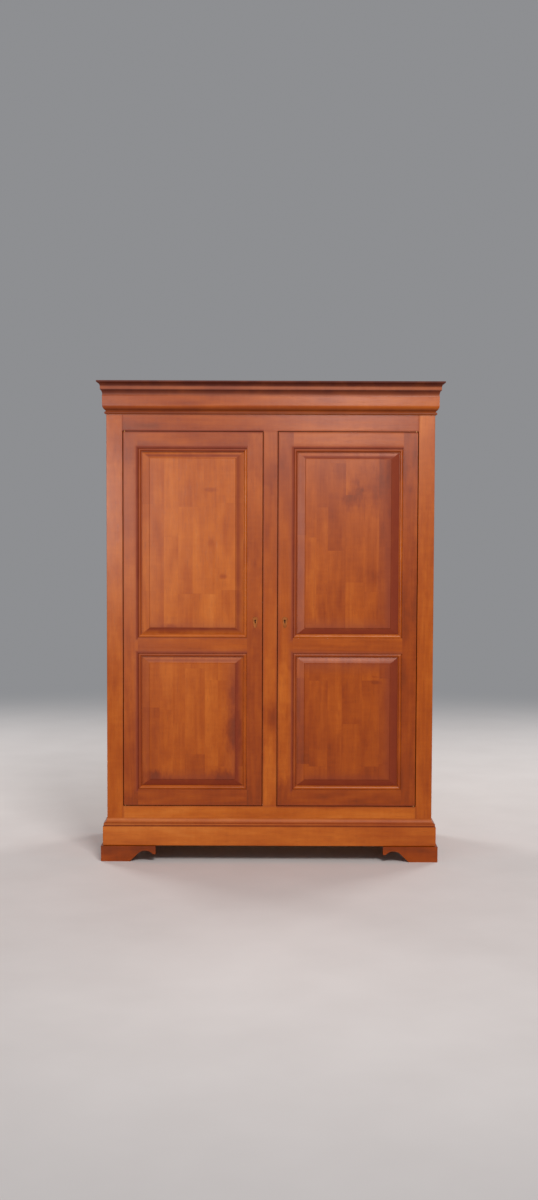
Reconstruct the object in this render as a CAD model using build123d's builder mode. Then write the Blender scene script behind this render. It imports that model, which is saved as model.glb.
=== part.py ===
from build123d import *
import os

# Two-door cherry armoire, in millimetres. +X is to the right, -Y is the front, +Z is up, and the
# origin is on the floor under the middle of the cornice. The pieces are joined as a joiner joins
# them: tenons in mortises, panels loose in grooves, mouldings mitred at the corners.

# Body
overall_height = 2100
body_width = 1428
body_depth = 580
cornice_overhang = 40
foot_height = 68
carcass_top = 1957
post_width = 70
post_depth = 48
centre_post_width = 62
opening_bottom = 241.5
opening_top = 1886

# Joinery
cheek_fit = 0.2
end_room = 2
tenon_thickness = 10
tenon_length = 40
tenon_shoulder = 12
front_tenon_inset = 8
side_tenon_inset = 7
back_tenon_inset = 7
back_groove_inset = 9
groove_depth = 10
tongue_length = 8

# Front rails and the rebates that stop the doors
front_rail_depth = 38
door_rebate = 27
door_stop = 12
front_bottom_rail_foot = 150
centre_post_depth = 43
centre_post_back_width = 88
centre_post_rebate = 25.5
centre_tenon_width = 40
centre_tenon_length = 30

# Side and back frames
side_thickness = 24
side_inset_groove = 8.5
side_groove_width = 6.5
side_tenon_length = 35
side_top_rail_height = 91
side_bottom_rail = (120, 276)
side_bevel = (40, 40)
back_recess = 4
back_thickness = 24
back_bottom_rail_top = 262
back_muntin_width = 90
back_panel_thickness = 6
floor_bottom = 232
floor_thickness = 20
floor_tongue = 7

# Doors
door_gap = 3
door_thickness = 25
hinge_stile_width = 80
lock_stile_width = 84
rail_width = 88
moulding_width = 18
middle_rail = (900, 1001.5)
door_groove = (11.5, 18.5)
door_tenon_shoulder = 14
quirk = (2.5, 4)
bead_crown = (8, 1.2)
bead_foot_depth = 8
sight_fillet = 2.5
arris = 1

# Raised panels: bevels at the sides and at the ends, and heights above the back of the panel
side_panel_tongue = 6
side_panel_bevel_height = 9
side_panel_field_height = 10.8
panel_tongue = 6.6
panel_bevel = (32, 25)
panel_bevel_height = 12.5
panel_field_height = 15
panel_step = 1
panel_step_taper = 35

# Pivots, hidden in the ends of the doors
pivot_from_face = 6
pivot_from_edge = 6.5
pivot_radius = 3
pivot_clearance = 0.05
pivot_reach = 10
pivot_collar_radius = 4
pivot_collar_room = 0.2
pivot_plate_length = 42
pivot_plate_width = 8
pivot_plate_thickness = 2.5
pivot_plate_offset = 16
socket_radius = 4.2
socket_depth = 11.5
socket_floor = 1.6

# Locks
keyhole_from_edge = 31
keyhole_height = 1062
keyhole_radius = 3.7
keyhole_slot = 4.6
keyhole_drop = 13
keyway_room = 0.5
escutcheon_radius = 12
escutcheon_rise = 4
escutcheon_tip_radius = 6
escutcheon_drop = 27
escutcheon_thickness = 3
escutcheon_proud = 0.5
lock_depth = 11
lock_plate = 1.5
lock_plate_width = 62
lock_plate_z = (1016, 1108)
lock_box_width = 56
lock_box_z = (1036, 1090)
lock_wall = 1.6
bolt_z = (1072, 1088.2)
bolt_length = 44
bolt_back = 2
bolt_travel = 12
bolt_deep = (16.5, 22.5)
bolt_room = 0.3
bolt_notch = 10
bolt_notch_height = 6
strike_room = 1

# Plinth and feet
plinth_thickness = 18
plinth_band_top = 153
plinth_top = 189
plinth_edge = 5
plinth_quirk = 5
plinth_fillet = 8
plinth_fillet_set_back = 3
plinth_cove_hollow = (4.2, 175)
plinth_lip = 1
foot_overhang = 26
foot_board = 22
foot_pad = 126
foot_length = 240
foot_lug = 12
foot_lug_height = 32
foot_slope = 34
foot_arch_height = 48
foot_block_width = 66
foot_block_lift = 2
rear_foot_width = 160

# Cornice: how far each member stands out from the body, and its height
cornice_wall = 22
cornice_ledge = 16
cornice_bead = (2, 8)
cornice_bead_height = 12
cornice_neck = (3, 1973)
cornice_band_foot = (11.5, 1981)
cornice_band_low = (16.6, 1998)
cornice_band_high = (17, 2036)
cornice_cove_low = (16, 2039)
cornice_cove_hollow = (17.6, 2052)
cornice_cove_high = (23, 2062)
cornice_fillet = (25, 2073)
cornice_crown_hollow = (28.5, 2085.5)
cornice_crown_high = (37.5, 2092)
cornice_top_edge = 6
top_panel_thickness = 9
top_panel_drop = 3

# Inside
partition_thickness = 20
shelf_thickness = 20
shelf_tops = (610, 970, 1330, 1690)
shelf_front_room = 56
cleat_thickness = 20
cleat_height = 30
cleat_lap = 16
hanger_cleat_height = 80
rail_radius = 12.5
rail_wall = 1.5
rail_drop = 50
rail_y = 20
socket_flange_radius = 22
socket_flange = 3
socket_cup_radius = 16
socket_cup_depth = 14
small_room = 0.5

# Planes and lines that the pieces share
half_width = body_width / 2
opening_half = half_width - post_width
front = -(body_depth + cornice_overhang) / 2 + cornice_overhang
back = front + body_depth
hinge_edge = opening_half - door_gap
lock_edge = centre_post_width / 2 + door_gap
door_bottom = opening_bottom + door_gap
door_top = opening_top - door_gap
lower_panel_sight = (door_bottom + rail_width, middle_rail[0])
upper_panel_sight = (middle_rail[1], door_top - rail_width)
door_panels = (lower_panel_sight, upper_panel_sight)
panel_sight_x = (lock_edge + lock_stile_width, hinge_edge - hinge_stile_width)
shoulder_x = (panel_sight_x[0] - moulding_width, panel_sight_x[1] + moulding_width)
rail_tenon_y = (front + front_tenon_inset, front + front_tenon_inset + tenon_thickness)
side_rails = ((carcass_top - side_top_rail_height, carcass_top), middle_rail, side_bottom_rail)
side_panels = ((side_bottom_rail[1], middle_rail[0]), (middle_rail[1], side_rails[0][0]))
side_inner = half_width - side_thickness
side_groove_x = (half_width - side_inset_groove - side_groove_width, half_width - side_inset_groove)
side_tenon_x = (side_inner + side_tenon_inset, side_inner + side_tenon_inset + tenon_thickness)
side_y = (front + post_depth, back - post_depth)
back_y = (back - back_recess - back_thickness, back - back_recess)
back_panel_y = (back_y[0] + back_groove_inset, back_y[0] + back_groove_inset + back_panel_thickness)
back_groove_y = (back_panel_y[0], back_panel_y[1] + cheek_fit)
back_tenon_y = (back_y[0] + back_tenon_inset, back_y[0] + back_tenon_inset + tenon_thickness)
back_top_rail_z = side_rails[0]
back_bottom_rail_z = (foot_height, back_bottom_rail_top)
front_bottom_rail_z = (front_bottom_rail_foot, opening_bottom)
front_top_rail_z = (opening_top, carcass_top)
front_rails = (front_top_rail_z, front_bottom_rail_z)
back_rails = (back_top_rail_z, back_bottom_rail_z)
floor_z = (floor_bottom, floor_bottom + floor_thickness)
pivot_x = hinge_edge - pivot_from_edge
pivot_y = front + pivot_from_face
keyhole_x = lock_edge + keyhole_from_edge
bolt_thrown = lock_edge + bolt_back - bolt_travel
strike_depth = centre_post_width / 2 - bolt_thrown + end_room
shelf_y = (front + shelf_front_room, back_y[0] - end_room)
hanger_z = shelf_tops[-1] - shelf_thickness - rail_drop
ledge_z = overall_height - top_panel_thickness - top_panel_drop

os.makedirs("parts", exist_ok=True)


def save(part, name):
    """Label a finished piece and write its file."""
    part.label = name
    export_step(part, f"parts/{name}.step")


def block(x, y, z, mode=Mode.ADD):
    """Square-edged block between two limits on each axis, in the piece being built."""
    with Locations((sum(x) / 2, sum(y) / 2, sum(z) / 2)):
        Box(x[1] - x[0], y[1] - y[0], z[1] - z[0], mode=mode)


def wider(limits, room):
    """The same stretch with room added at both ends."""
    return limits[0] - room, limits[1] + room


def tenon_of(limits, shoulder=tenon_shoulder):
    """The stretch of a rail's height that its tenon takes up."""
    return wider(limits, -shoulder)


def stretch(start, length):
    """Limits of a stretch that starts at one place and runs either way."""
    return tuple(sorted((start, start + length)))


def deep(near, far):
    """Limits on Y of a stretch measured back from the front face."""
    return front + near, front + far


# Corner posts, with the mortises and grooves for the rails and panels between them
def corner_post(y, side_face, into):
    side_mortise = stretch(side_face, into * (side_tenon_length + end_room))
    side_groove = stretch(side_face, into * groove_depth)
    cross_mortise = (opening_half, opening_half + tenon_length + end_room)
    is_front = into < 0
    cross_y = rail_tenon_y if is_front else back_tenon_y
    cross_rails = front_rails if is_front else back_rails
    with BuildPart() as post:
        block((opening_half, half_width), y, (foot_height, carcass_top))
        corners = post.edges().filter_by(Axis.Z)
        shown = corners.sort_by(Axis.Y)[:2] if is_front else corners.sort_by(Axis.X)[-1:]
        chamfer(shown, length=arris)
        for rail in side_rails:
            mortise_z = wider(tenon_of(rail), cheek_fit)
            block(wider(side_tenon_x, cheek_fit), side_mortise, mortise_z, Mode.SUBTRACT)
        for panel in side_panels:
            block(side_groove_x, side_groove, wider(panel, groove_depth), Mode.SUBTRACT)
        for rail in cross_rails:
            mortise_z = wider(tenon_of(rail), cheek_fit)
            block(cross_mortise, wider(cross_y, cheek_fit), mortise_z, Mode.SUBTRACT)
        if not is_front:
            groove_z = (back_bottom_rail_z[1] - groove_depth, back_top_rail_z[0] + groove_depth)
            block((opening_half, opening_half + groove_depth), back_groove_y, groove_z, Mode.SUBTRACT)
    return post.part


def save_pair(part, left_name, right_name):
    """Save a right-hand piece and its mirror image on the left."""
    save(part, right_name)
    with BuildPart() as left:
        mirror(part, about=Plane.YZ)
    save(left.part, left_name)


save_pair(corner_post((front, side_y[0]), side_y[0], -1), "front_post_left", "front_post_right")
save_pair(corner_post((side_y[1], back), side_y[1], 1), "rear_post_left", "rear_post_right")


# Pivot hardware: plates let flush into the wood, with a pin on the door and a cup in the rail
def pivot_plate(side):
    with Locations((side * (pivot_x - pivot_plate_offset), pivot_y)):
        Rectangle(pivot_plate_length, pivot_plate_width)


def pivot_round(side, radius):
    with Locations((side * pivot_x, pivot_y)):
        Circle(radius)


def socket_body(face_z, inward, side, mode):
    """Plate and cup of a socket, or the housing for them, cut from a rail's edge at face_z."""
    with BuildSketch(Plane.XY.offset(face_z)) as plate:
        pivot_plate(side)
    extrude(plate.sketch, amount=inward * pivot_plate_thickness, mode=mode)
    with BuildSketch(Plane.XY.offset(face_z)) as cup:
        pivot_round(side, socket_radius)
    extrude(cup.sketch, amount=inward * socket_depth, mode=mode)


with BuildPart() as pivot_sockets:
    for face_z, inward in ((opening_top, 1), (opening_bottom, -1)):
        for side in (-1, 1):
            socket_body(face_z, inward, side, Mode.ADD)
            with BuildSketch(Plane.XY.offset(face_z)):
                pivot_round(side, pivot_radius + pivot_clearance)
            extrude(amount=inward * (socket_depth - socket_floor), mode=Mode.SUBTRACT)
save(pivot_sockets.part, "pivot_sockets")

pivot_rounds = ((pivot_collar_radius, door_gap - pivot_collar_room), (pivot_radius, pivot_reach))
with BuildPart() as right_pivots:
    for end_z, outward in ((door_top, 1), (door_bottom, -1)):
        with BuildSketch(Plane.XY.offset(end_z)):
            pivot_plate(1)
        extrude(amount=-outward * pivot_plate_thickness)
        for radius, length in pivot_rounds:
            with BuildSketch(Plane.XY.offset(end_z)):
                pivot_round(1, radius)
            extrude(amount=outward * length)
    tips = right_pivots.faces().sort_by(Axis.Z)
    chamfer(tips[0].edges() + tips[-1].edges(), length=small_room)
save_pair(right_pivots.part, "left_door_pivots", "right_door_pivots")


# Front rails: rebated bars. The top one's back edge stops the doors, the bottom one's carries the floor.
def front_rail(section, limits, edge_z, inward):
    with BuildPart() as rail:
        with BuildSketch(Plane.YZ.offset(-opening_half)):
            Polygon(*section, align=None)
        extrude(amount=2 * opening_half)
        for side in (-1, 1):
            block(stretch(side * opening_half, side * tenon_length), rail_tenon_y, tenon_of(limits))
            socket_body(edge_z, inward, side, Mode.SUBTRACT)
        mortise_x = wider((-centre_tenon_width / 2, centre_tenon_width / 2), cheek_fit)
        mortise_z = stretch(edge_z, inward * (centre_tenon_length + end_room))
        block(mortise_x, wider(rail_tenon_y, cheek_fit), mortise_z, Mode.SUBTRACT)
    return rail.part


rail_back = front + front_rail_depth
rebate = front + door_rebate
top_section = (
    (front, opening_top),
    (rebate, opening_top),
    (rebate, opening_top - door_stop),
    (rail_back, opening_top - door_stop),
    (rail_back, carcass_top),
    (front, carcass_top),
)
bottom_section = (
    (front, front_bottom_rail_foot),
    (rail_back, front_bottom_rail_foot),
    (rail_back, floor_bottom),
    (rebate, floor_bottom),
    (rebate, opening_bottom),
    (front, opening_bottom),
)
save(front_rail(top_section, front_top_rail_z, opening_top, 1), "front_top_rail")
save(front_rail(bottom_section, front_bottom_rail_z, opening_bottom, -1), "front_bottom_rail")

# Centre post, rebated on both sides so that each door closes against it
with BuildPart() as centre_post:
    with BuildSketch(Plane.XY.offset(opening_bottom)):
        with Locations((0, front + centre_post_rebate / 2)):
            Rectangle(centre_post_width, centre_post_rebate)
    extrude(amount=opening_top - opening_bottom)
    chamfer(centre_post.edges().filter_by(Axis.Z).group_by(Axis.Y)[0], length=arris)
    half_back = centre_post_back_width / 2
    back_z = (opening_bottom, opening_top - door_stop)
    block((-half_back, half_back), deep(centre_post_rebate, centre_post_depth), back_z)
    half_tenon = centre_tenon_width / 2
    for edge_z, outward in ((opening_top, 1), (opening_bottom, -1)):
        block((-half_tenon, half_tenon), rail_tenon_y, stretch(edge_z, outward * centre_tenon_length))
    for side in (-1, 1):
        strike_x = stretch(side * centre_post_width / 2, -side * strike_depth)
        strike_y = wider(deep(*bolt_deep), strike_room)
        block(strike_x, strike_y, wider(bolt_z, strike_room), Mode.SUBTRACT)
save(centre_post.part, "centre_post")


# Side frames: three rails tenoned between the posts, grooved for two panels
def side_rail(limits, grooves_z, floor_groove):
    with BuildPart() as rail:
        block((side_inner, half_width), side_y, limits)
        block(side_tenon_x, wider(side_y, side_tenon_length), tenon_of(limits))
        for edge_z, inward in grooves_z:
            block(side_groove_x, side_y, stretch(edge_z, inward * groove_depth), Mode.SUBTRACT)
        if floor_groove:
            block((side_inner, side_inner + tongue_length), side_y, wider(floor_z, cheek_fit), Mode.SUBTRACT)
    return rail.part


top_z, middle_z, bottom_z = side_rails
save_pair(side_rail(top_z, [(top_z[0], 1)], False), "left_side_top_rail", "right_side_top_rail")
middle_grooves = [(middle_z[0], 1), (middle_z[1], -1)]
save_pair(side_rail(middle_z, middle_grooves, False), "left_side_middle_rail", "right_side_middle_rail")
save_pair(side_rail(bottom_z, [(bottom_z[1], -1)], True), "left_side_bottom_rail", "right_side_bottom_rail")


# Raised panels: a tongue all round, a bevel up from the sight line and a step up to the field
def raised_panel(plane, centre, sight, bevel, tongue_height, bevel_height, field_height):
    width, height = sight
    at_sides, at_ends = bevel
    with BuildPart() as panel:
        with BuildSketch(plane):
            with Locations(centre):
                Rectangle(width + 2 * tongue_length, height + 2 * tongue_length)
        extrude(amount=tongue_height)
        bevel_top = (width - 2 * at_sides, height - 2 * at_ends)
        for outline, rise in ((sight, tongue_height), (bevel_top, bevel_height)):
            with BuildSketch(plane.offset(rise)):
                with Locations(centre):
                    Rectangle(*outline)
        loft(ruled=True)
        with BuildSketch(plane.offset(bevel_height)):
            with Locations(centre):
                Rectangle(bevel_top[0] - 2 * panel_step, bevel_top[1] - 2 * panel_step)
        extrude(amount=field_height - bevel_height, taper=panel_step_taper)
    return panel.part


def middle_of(limits):
    return sum(limits) / 2


def length_of(limits):
    return limits[1] - limits[0]


with BuildPart() as right_side_panels:
    for panel_z in side_panels:
        side_panel = raised_panel(
            Plane.YZ.offset(side_groove_x[0]),
            (middle_of(side_y), middle_of(panel_z)),
            (length_of(side_y), length_of(panel_z)),
            side_bevel,
            side_panel_tongue,
            side_panel_bevel_height,
            side_panel_field_height,
        )
        add(side_panel)
save_pair(right_side_panels.part, "left_side_panels", "right_side_panels")

# Back: two rails, a muntin and two thin panels, set in from the back of the posts
with BuildPart() as back_top_rail:
    block((-opening_half, opening_half), back_y, back_top_rail_z)
    block(wider((-opening_half, opening_half), tenon_length), back_tenon_y, tenon_of(back_top_rail_z))
    groove_z = stretch(back_top_rail_z[0], groove_depth)
    block((-opening_half, opening_half), back_groove_y, groove_z, Mode.SUBTRACT)
    muntin_mortise = wider((-centre_tenon_width / 2, centre_tenon_width / 2), cheek_fit)
    mortise_z = stretch(back_top_rail_z[0], centre_tenon_length + end_room)
    block(muntin_mortise, wider(back_tenon_y, cheek_fit), mortise_z, Mode.SUBTRACT)
save(back_top_rail.part, "back_top_rail")

with BuildPart() as back_bottom_rail:
    block((-opening_half, opening_half), back_y, back_bottom_rail_z)
    block(wider((-opening_half, opening_half), tenon_length), back_tenon_y, tenon_of(back_bottom_rail_z))
    groove_z = stretch(back_bottom_rail_z[1], -groove_depth)
    block((-opening_half, opening_half), back_groove_y, groove_z, Mode.SUBTRACT)
    floor_groove_y = stretch(back_y[0], tongue_length)
    block((-opening_half, opening_half), floor_groove_y, wider(floor_z, cheek_fit), Mode.SUBTRACT)
    mortise_z = stretch(back_bottom_rail_z[1], -centre_tenon_length - end_room)
    block(muntin_mortise, wider(back_tenon_y, cheek_fit), mortise_z, Mode.SUBTRACT)
save(back_bottom_rail.part, "back_bottom_rail")

muntin_half = back_muntin_width / 2
muntin_z = (back_bottom_rail_z[1], back_top_rail_z[0])
with BuildPart() as back_muntin:
    block((-muntin_half, muntin_half), back_y, muntin_z)
    tenon_x = (-centre_tenon_width / 2, centre_tenon_width / 2)
    block(tenon_x, back_tenon_y, wider(muntin_z, centre_tenon_length))
    for side in (-1, 1):
        groove_x = stretch(side * muntin_half, -side * groove_depth)
        block(groove_x, back_groove_y, muntin_z, Mode.SUBTRACT)
save(back_muntin.part, "back_muntin")

with BuildPart() as back_panels:
    back_panel_x = wider((muntin_half, opening_half), tongue_length)
    block(back_panel_x, back_panel_y, wider(muntin_z, tongue_length))
    mirror(about=Plane.YZ)
save(back_panels.part, "back_panels")

# Floor: one board in the rails' grooves, cut round the four corner posts and the centre post
with BuildPart() as floor_panel:
    floor_front = rebate + small_room
    floor_back = back_y[0] + floor_tongue
    floor_half = side_inner + floor_tongue
    block((-floor_half, floor_half), (floor_front, floor_back), floor_z)
    for side in (-1, 1):
        corner_x = stretch(side * (opening_half - small_room), side * post_width)
        block(corner_x, (floor_front, side_y[0] + small_room), floor_z, Mode.SUBTRACT)
        block(corner_x, (side_y[1] - small_room, floor_back), floor_z, Mode.SUBTRACT)
    post_x = wider((-half_back, half_back), small_room)
    block(post_x, (floor_front, front + centre_post_depth + small_room), floor_z, Mode.SUBTRACT)
save(floor_panel.part, "floor_panel")


# Doors. The sticking is the moulding worked on the inner edges of the frame: a quirk, a bead and
# a narrow fillet at the sight line. place() turns (across, deep) into points of the open sketch.
def sticking_waste(place):
    past = 1
    bead_foot = (moulding_width - sight_fillet, bead_foot_depth)
    with BuildLine() as outline:
        Polyline(
            place(*bead_foot),
            place(moulding_width + past, bead_foot_depth),
            place(moulding_width + past, -past),
            place(0, -past),
            place(0, quirk[1]),
            place(*quirk),
        )
        ThreePointArc(place(*quirk), place(*bead_crown), place(*bead_foot))
    make_face(outline.line)


door_height = (door_bottom, door_top)
top_rail_tenon = (upper_panel_sight[1] + door_tenon_shoulder, door_top - door_tenon_shoulder)
bottom_rail_tenon = (door_bottom + door_tenon_shoulder, lower_panel_sight[0] - door_tenon_shoulder)
middle_rail_tenon = tenon_of(middle_rail)
door_tenons = (top_rail_tenon, middle_rail_tenon, bottom_rail_tenon)


def door_stile(outer, inward, width):
    """Blank, mitred moulding, panel grooves and mortises of a stile whose outer edge is at outer."""
    sight = outer + inward * width
    shoulder = sight - inward * moulding_width
    outline = [(shoulder, door_bottom), (outer, door_bottom), (outer, door_top), (shoulder, door_top)]
    for low, high in reversed(door_panels):
        outline += [(shoulder, high + moulding_width), (sight, high)]
        outline += [(sight, low), (shoulder, low - moulding_width)]
    with BuildSketch(Plane.XZ.offset(-front)) as blank:
        Polygon(*outline, align=None)
    extrude(blank.sketch, amount=-door_thickness)
    with BuildSketch(Plane.XY.offset(door_bottom)) as waste:
        sticking_waste(lambda across, depth: (shoulder + inward * across, front + depth))
    extrude(waste.sketch, amount=length_of(door_height), mode=Mode.SUBTRACT)
    for panel in door_panels:
        groove_x = stretch(sight, -inward * groove_depth)
        block(groove_x, deep(*door_groove), wider(panel, groove_depth), Mode.SUBTRACT)
    for tenon_z in door_tenons:
        mortise_x = stretch(shoulder, -inward * (tenon_length + end_room))
        block(mortise_x, wider(deep(*door_groove), cheek_fit), wider(tenon_z, cheek_fit), Mode.SUBTRACT)


with BuildPart() as hinge_stile:
    door_stile(hinge_edge, -1, hinge_stile_width)
    outer_arris = hinge_stile.edges().filter_by(Axis.Z).group_by(Axis.X)[-1].sort_by(Axis.Y)[:1]
    end_arrises = hinge_stile.edges().filter_by(Axis.X).group_by(Axis.Y)[0]
    chamfer(outer_arris + end_arrises, length=arris)
    for end_z, outward in ((door_top, 1), (door_bottom, -1)):
        with BuildSketch(Plane.XY.offset(end_z)):
            pivot_plate(1)
        extrude(amount=-outward * pivot_plate_thickness, mode=Mode.SUBTRACT)
save_pair(hinge_stile.part, "left_door_hinge_stile", "right_door_hinge_stile")


def keyhole_shape(room):
    """Round head over a straight slot, as large as the key's shank and bit need."""
    with Locations((keyhole_x, keyhole_height)):
        Circle(keyhole_radius + room)
    with Locations((keyhole_x, keyhole_height - keyhole_drop / 2)):
        Rectangle(keyhole_slot + 2 * room, keyhole_drop + 2 * room)


def escutcheon_shape():
    with Locations((keyhole_x, keyhole_height + escutcheon_rise)):
        Circle(escutcheon_radius)
    with Locations((keyhole_x, keyhole_height - escutcheon_drop)):
        Circle(escutcheon_tip_radius)
    make_hull()


lock_plate_x = stretch(lock_edge, lock_plate_width)
lock_box_x = stretch(lock_edge, lock_box_width)
lock_back = (door_thickness - lock_plate, door_thickness)
lock_front = door_thickness - lock_depth


def lock_body(mode):
    """Outer form of a lock: a back plate, a plate on the door's edge and a shallow box."""
    block(lock_plate_x, deep(*lock_back), lock_plate_z, mode)
    block(stretch(lock_edge, lock_plate), deep(lock_front, door_thickness), lock_plate_z, mode)
    block(lock_box_x, deep(lock_front, door_thickness), lock_box_z, mode)


with BuildPart() as lock_stile:
    door_stile(lock_edge, 1, lock_stile_width)
    outer_arris = lock_stile.edges().filter_by(Axis.Z).group_by(Axis.X)[0].sort_by(Axis.Y)[:1]
    end_arrises = lock_stile.edges().filter_by(Axis.X).group_by(Axis.Y)[0]
    chamfer(outer_arris + end_arrises, length=arris)
    lock_body(Mode.SUBTRACT)
    with BuildSketch(Plane.XZ.offset(-front)):
        keyhole_shape(keyway_room)
    extrude(amount=-lock_front, mode=Mode.SUBTRACT)
    with BuildSketch(Plane.XZ.offset(-front)):
        escutcheon_shape()
    extrude(amount=-(escutcheon_thickness - escutcheon_proud), mode=Mode.SUBTRACT)
save_pair(lock_stile.part, "left_door_lock_stile", "right_door_lock_stile")

with BuildPart() as escutcheon:
    with BuildSketch(Plane.XZ.offset(-front + escutcheon_proud)):
        escutcheon_shape()
    extrude(amount=-escutcheon_thickness)
    face_edge = escutcheon.faces().sort_by(Axis.Y)[0].edges()
    chamfer(face_edge, length=escutcheon_proud)
    with BuildSketch(Plane.XZ.offset(-front + escutcheon_proud)):
        keyhole_shape(0)
    extrude(amount=-escutcheon_thickness, mode=Mode.SUBTRACT)
save_pair(escutcheon.part, "left_escutcheon", "right_escutcheon")

with BuildPart() as lock_case:
    lock_body(Mode.ADD)
    inside_x = wider(lock_box_x, -lock_wall)
    block(inside_x, deep(lock_front, lock_back[0]), wider(lock_box_z, -lock_wall), Mode.SUBTRACT)
    bolt_slot_x = stretch(lock_edge, lock_wall)
    block(bolt_slot_x, wider(deep(*bolt_deep), bolt_room), wider(bolt_z, bolt_room), Mode.SUBTRACT)
save_pair(lock_case.part, "left_lock_case", "right_lock_case")

# Lock bolt, drawn back in the case, with the notch in its lower edge that the key's bit pushes
with BuildPart() as lock_bolt:
    bolt_x = stretch(lock_edge + bolt_back, bolt_length)
    block(bolt_x, deep(*bolt_deep), bolt_z)
    notch_x = wider((keyhole_x, keyhole_x), bolt_notch / 2)
    block(notch_x, deep(*bolt_deep), stretch(bolt_z[0], bolt_notch_height), Mode.SUBTRACT)
    chamfer(lock_bolt.faces().sort_by(Axis.X)[0].edges().filter_by(Axis.Z), length=arris)
save_pair(lock_bolt.part, "left_lock_bolt", "right_lock_bolt")


# Door rails, mitred into the stiles' moulding, with a tenon at each end
def door_rail(outline, moulded_edges, tenon_z, outer_z=None):
    with BuildPart() as rail:
        with BuildSketch(Plane.XZ.offset(-front)):
            Polygon(*outline, align=None)
        extrude(amount=-door_thickness)
        for sight_z, inward in moulded_edges:
            face_z = sight_z + inward * moulding_width
            with BuildSketch(Plane.YZ.offset(shoulder_x[0])):
                sticking_waste(lambda across, depth: (front + depth, face_z - inward * across))
            extrude(amount=length_of(shoulder_x), mode=Mode.SUBTRACT)
            groove_z = stretch(sight_z, inward * groove_depth)
            block(wider(panel_sight_x, groove_depth), deep(*door_groove), groove_z, Mode.SUBTRACT)
        if outer_z is not None:
            face_edges = rail.edges().filter_by(Axis.X).group_by(Axis.Y)[0]
            chamfer(face_edges.filter_by_position(Axis.Z, outer_z, outer_z), length=arris)
        for shoulder, outward in zip(shoulder_x, (-1, 1)):
            block(stretch(shoulder, outward * tenon_length), deep(*door_groove), tenon_z)
    return rail.part


def mitred_edge(sight_z, inward):
    """Four points along a moulded edge, from the left shoulder to the right one."""
    face_z = sight_z + inward * moulding_width
    left, right = panel_sight_x
    return [(shoulder_x[0], face_z), (left, sight_z), (right, sight_z), (shoulder_x[1], face_z)]


top_edge = [(shoulder_x[1], door_top), (shoulder_x[0], door_top)]
bottom_edge = [(shoulder_x[1], door_bottom), (shoulder_x[0], door_bottom)]
upper_high = (upper_panel_sight[1], 1)
upper_low = (upper_panel_sight[0], -1)
lower_high = (lower_panel_sight[1], 1)
lower_low = (lower_panel_sight[0], -1)
top_rail = door_rail(mitred_edge(*upper_high) + top_edge, [upper_high], top_rail_tenon, door_top)
middle_outline = mitred_edge(*upper_low) + mitred_edge(*lower_high)[::-1]
middle = door_rail(middle_outline, [upper_low, lower_high], middle_rail_tenon)
bottom_rail = door_rail(mitred_edge(*lower_low) + bottom_edge, [lower_low], bottom_rail_tenon, door_bottom)
save_pair(top_rail, "left_door_top_rail", "right_door_top_rail")
save_pair(middle, "left_door_middle_rail", "right_door_middle_rail")
save_pair(bottom_rail, "left_door_bottom_rail", "right_door_bottom_rail")

for panel_name, panel_z in (("lower_panel", lower_panel_sight), ("upper_panel", upper_panel_sight)):
    door_panel = raised_panel(
        Plane.XZ.offset(-front - door_groove[1]),
        (middle_of(panel_sight_x), middle_of(panel_z)),
        (length_of(panel_sight_x), length_of(panel_z)),
        panel_bevel,
        panel_tongue,
        panel_bevel_height,
        panel_field_height,
    )
    save_pair(door_panel, f"left_door_{panel_name}", f"right_door_{panel_name}")


# Mouldings that wrap round the body. place() turns (out from the body, height) into sketch points.
def plinth_section(place):
    """Flat band with a rounded foot, then a quirk, a fillet and a cove that dies into the posts."""
    band = plinth_thickness
    rounded = plinth_edge - plinth_edge / 2**0.5
    fillet_low = plinth_band_top + plinth_quirk
    fillet_high = fillet_low + plinth_fillet
    fillet_out = band - plinth_fillet_set_back
    with BuildLine() as outline:
        Polyline(
            place(plinth_lip, plinth_top),
            place(0, plinth_top),
            place(0, foot_height),
            place(band - plinth_edge, foot_height),
        )
        ThreePointArc(
            place(band - plinth_edge, foot_height),
            place(band - rounded, foot_height + rounded),
            place(band, foot_height + plinth_edge),
        )
        Polyline(
            place(band, foot_height + plinth_edge),
            place(band, plinth_band_top - arris),
            place(band - arris, plinth_band_top),
            place(fillet_out - plinth_fillet_set_back, plinth_band_top),
            place(fillet_out - plinth_fillet_set_back, fillet_low),
            place(fillet_out, fillet_low),
            place(fillet_out, fillet_high),
        )
        ThreePointArc(
            place(fillet_out, fillet_high),
            place(*plinth_cove_hollow),
            place(plinth_lip, plinth_top),
        )
    make_face(outline.line)


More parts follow.
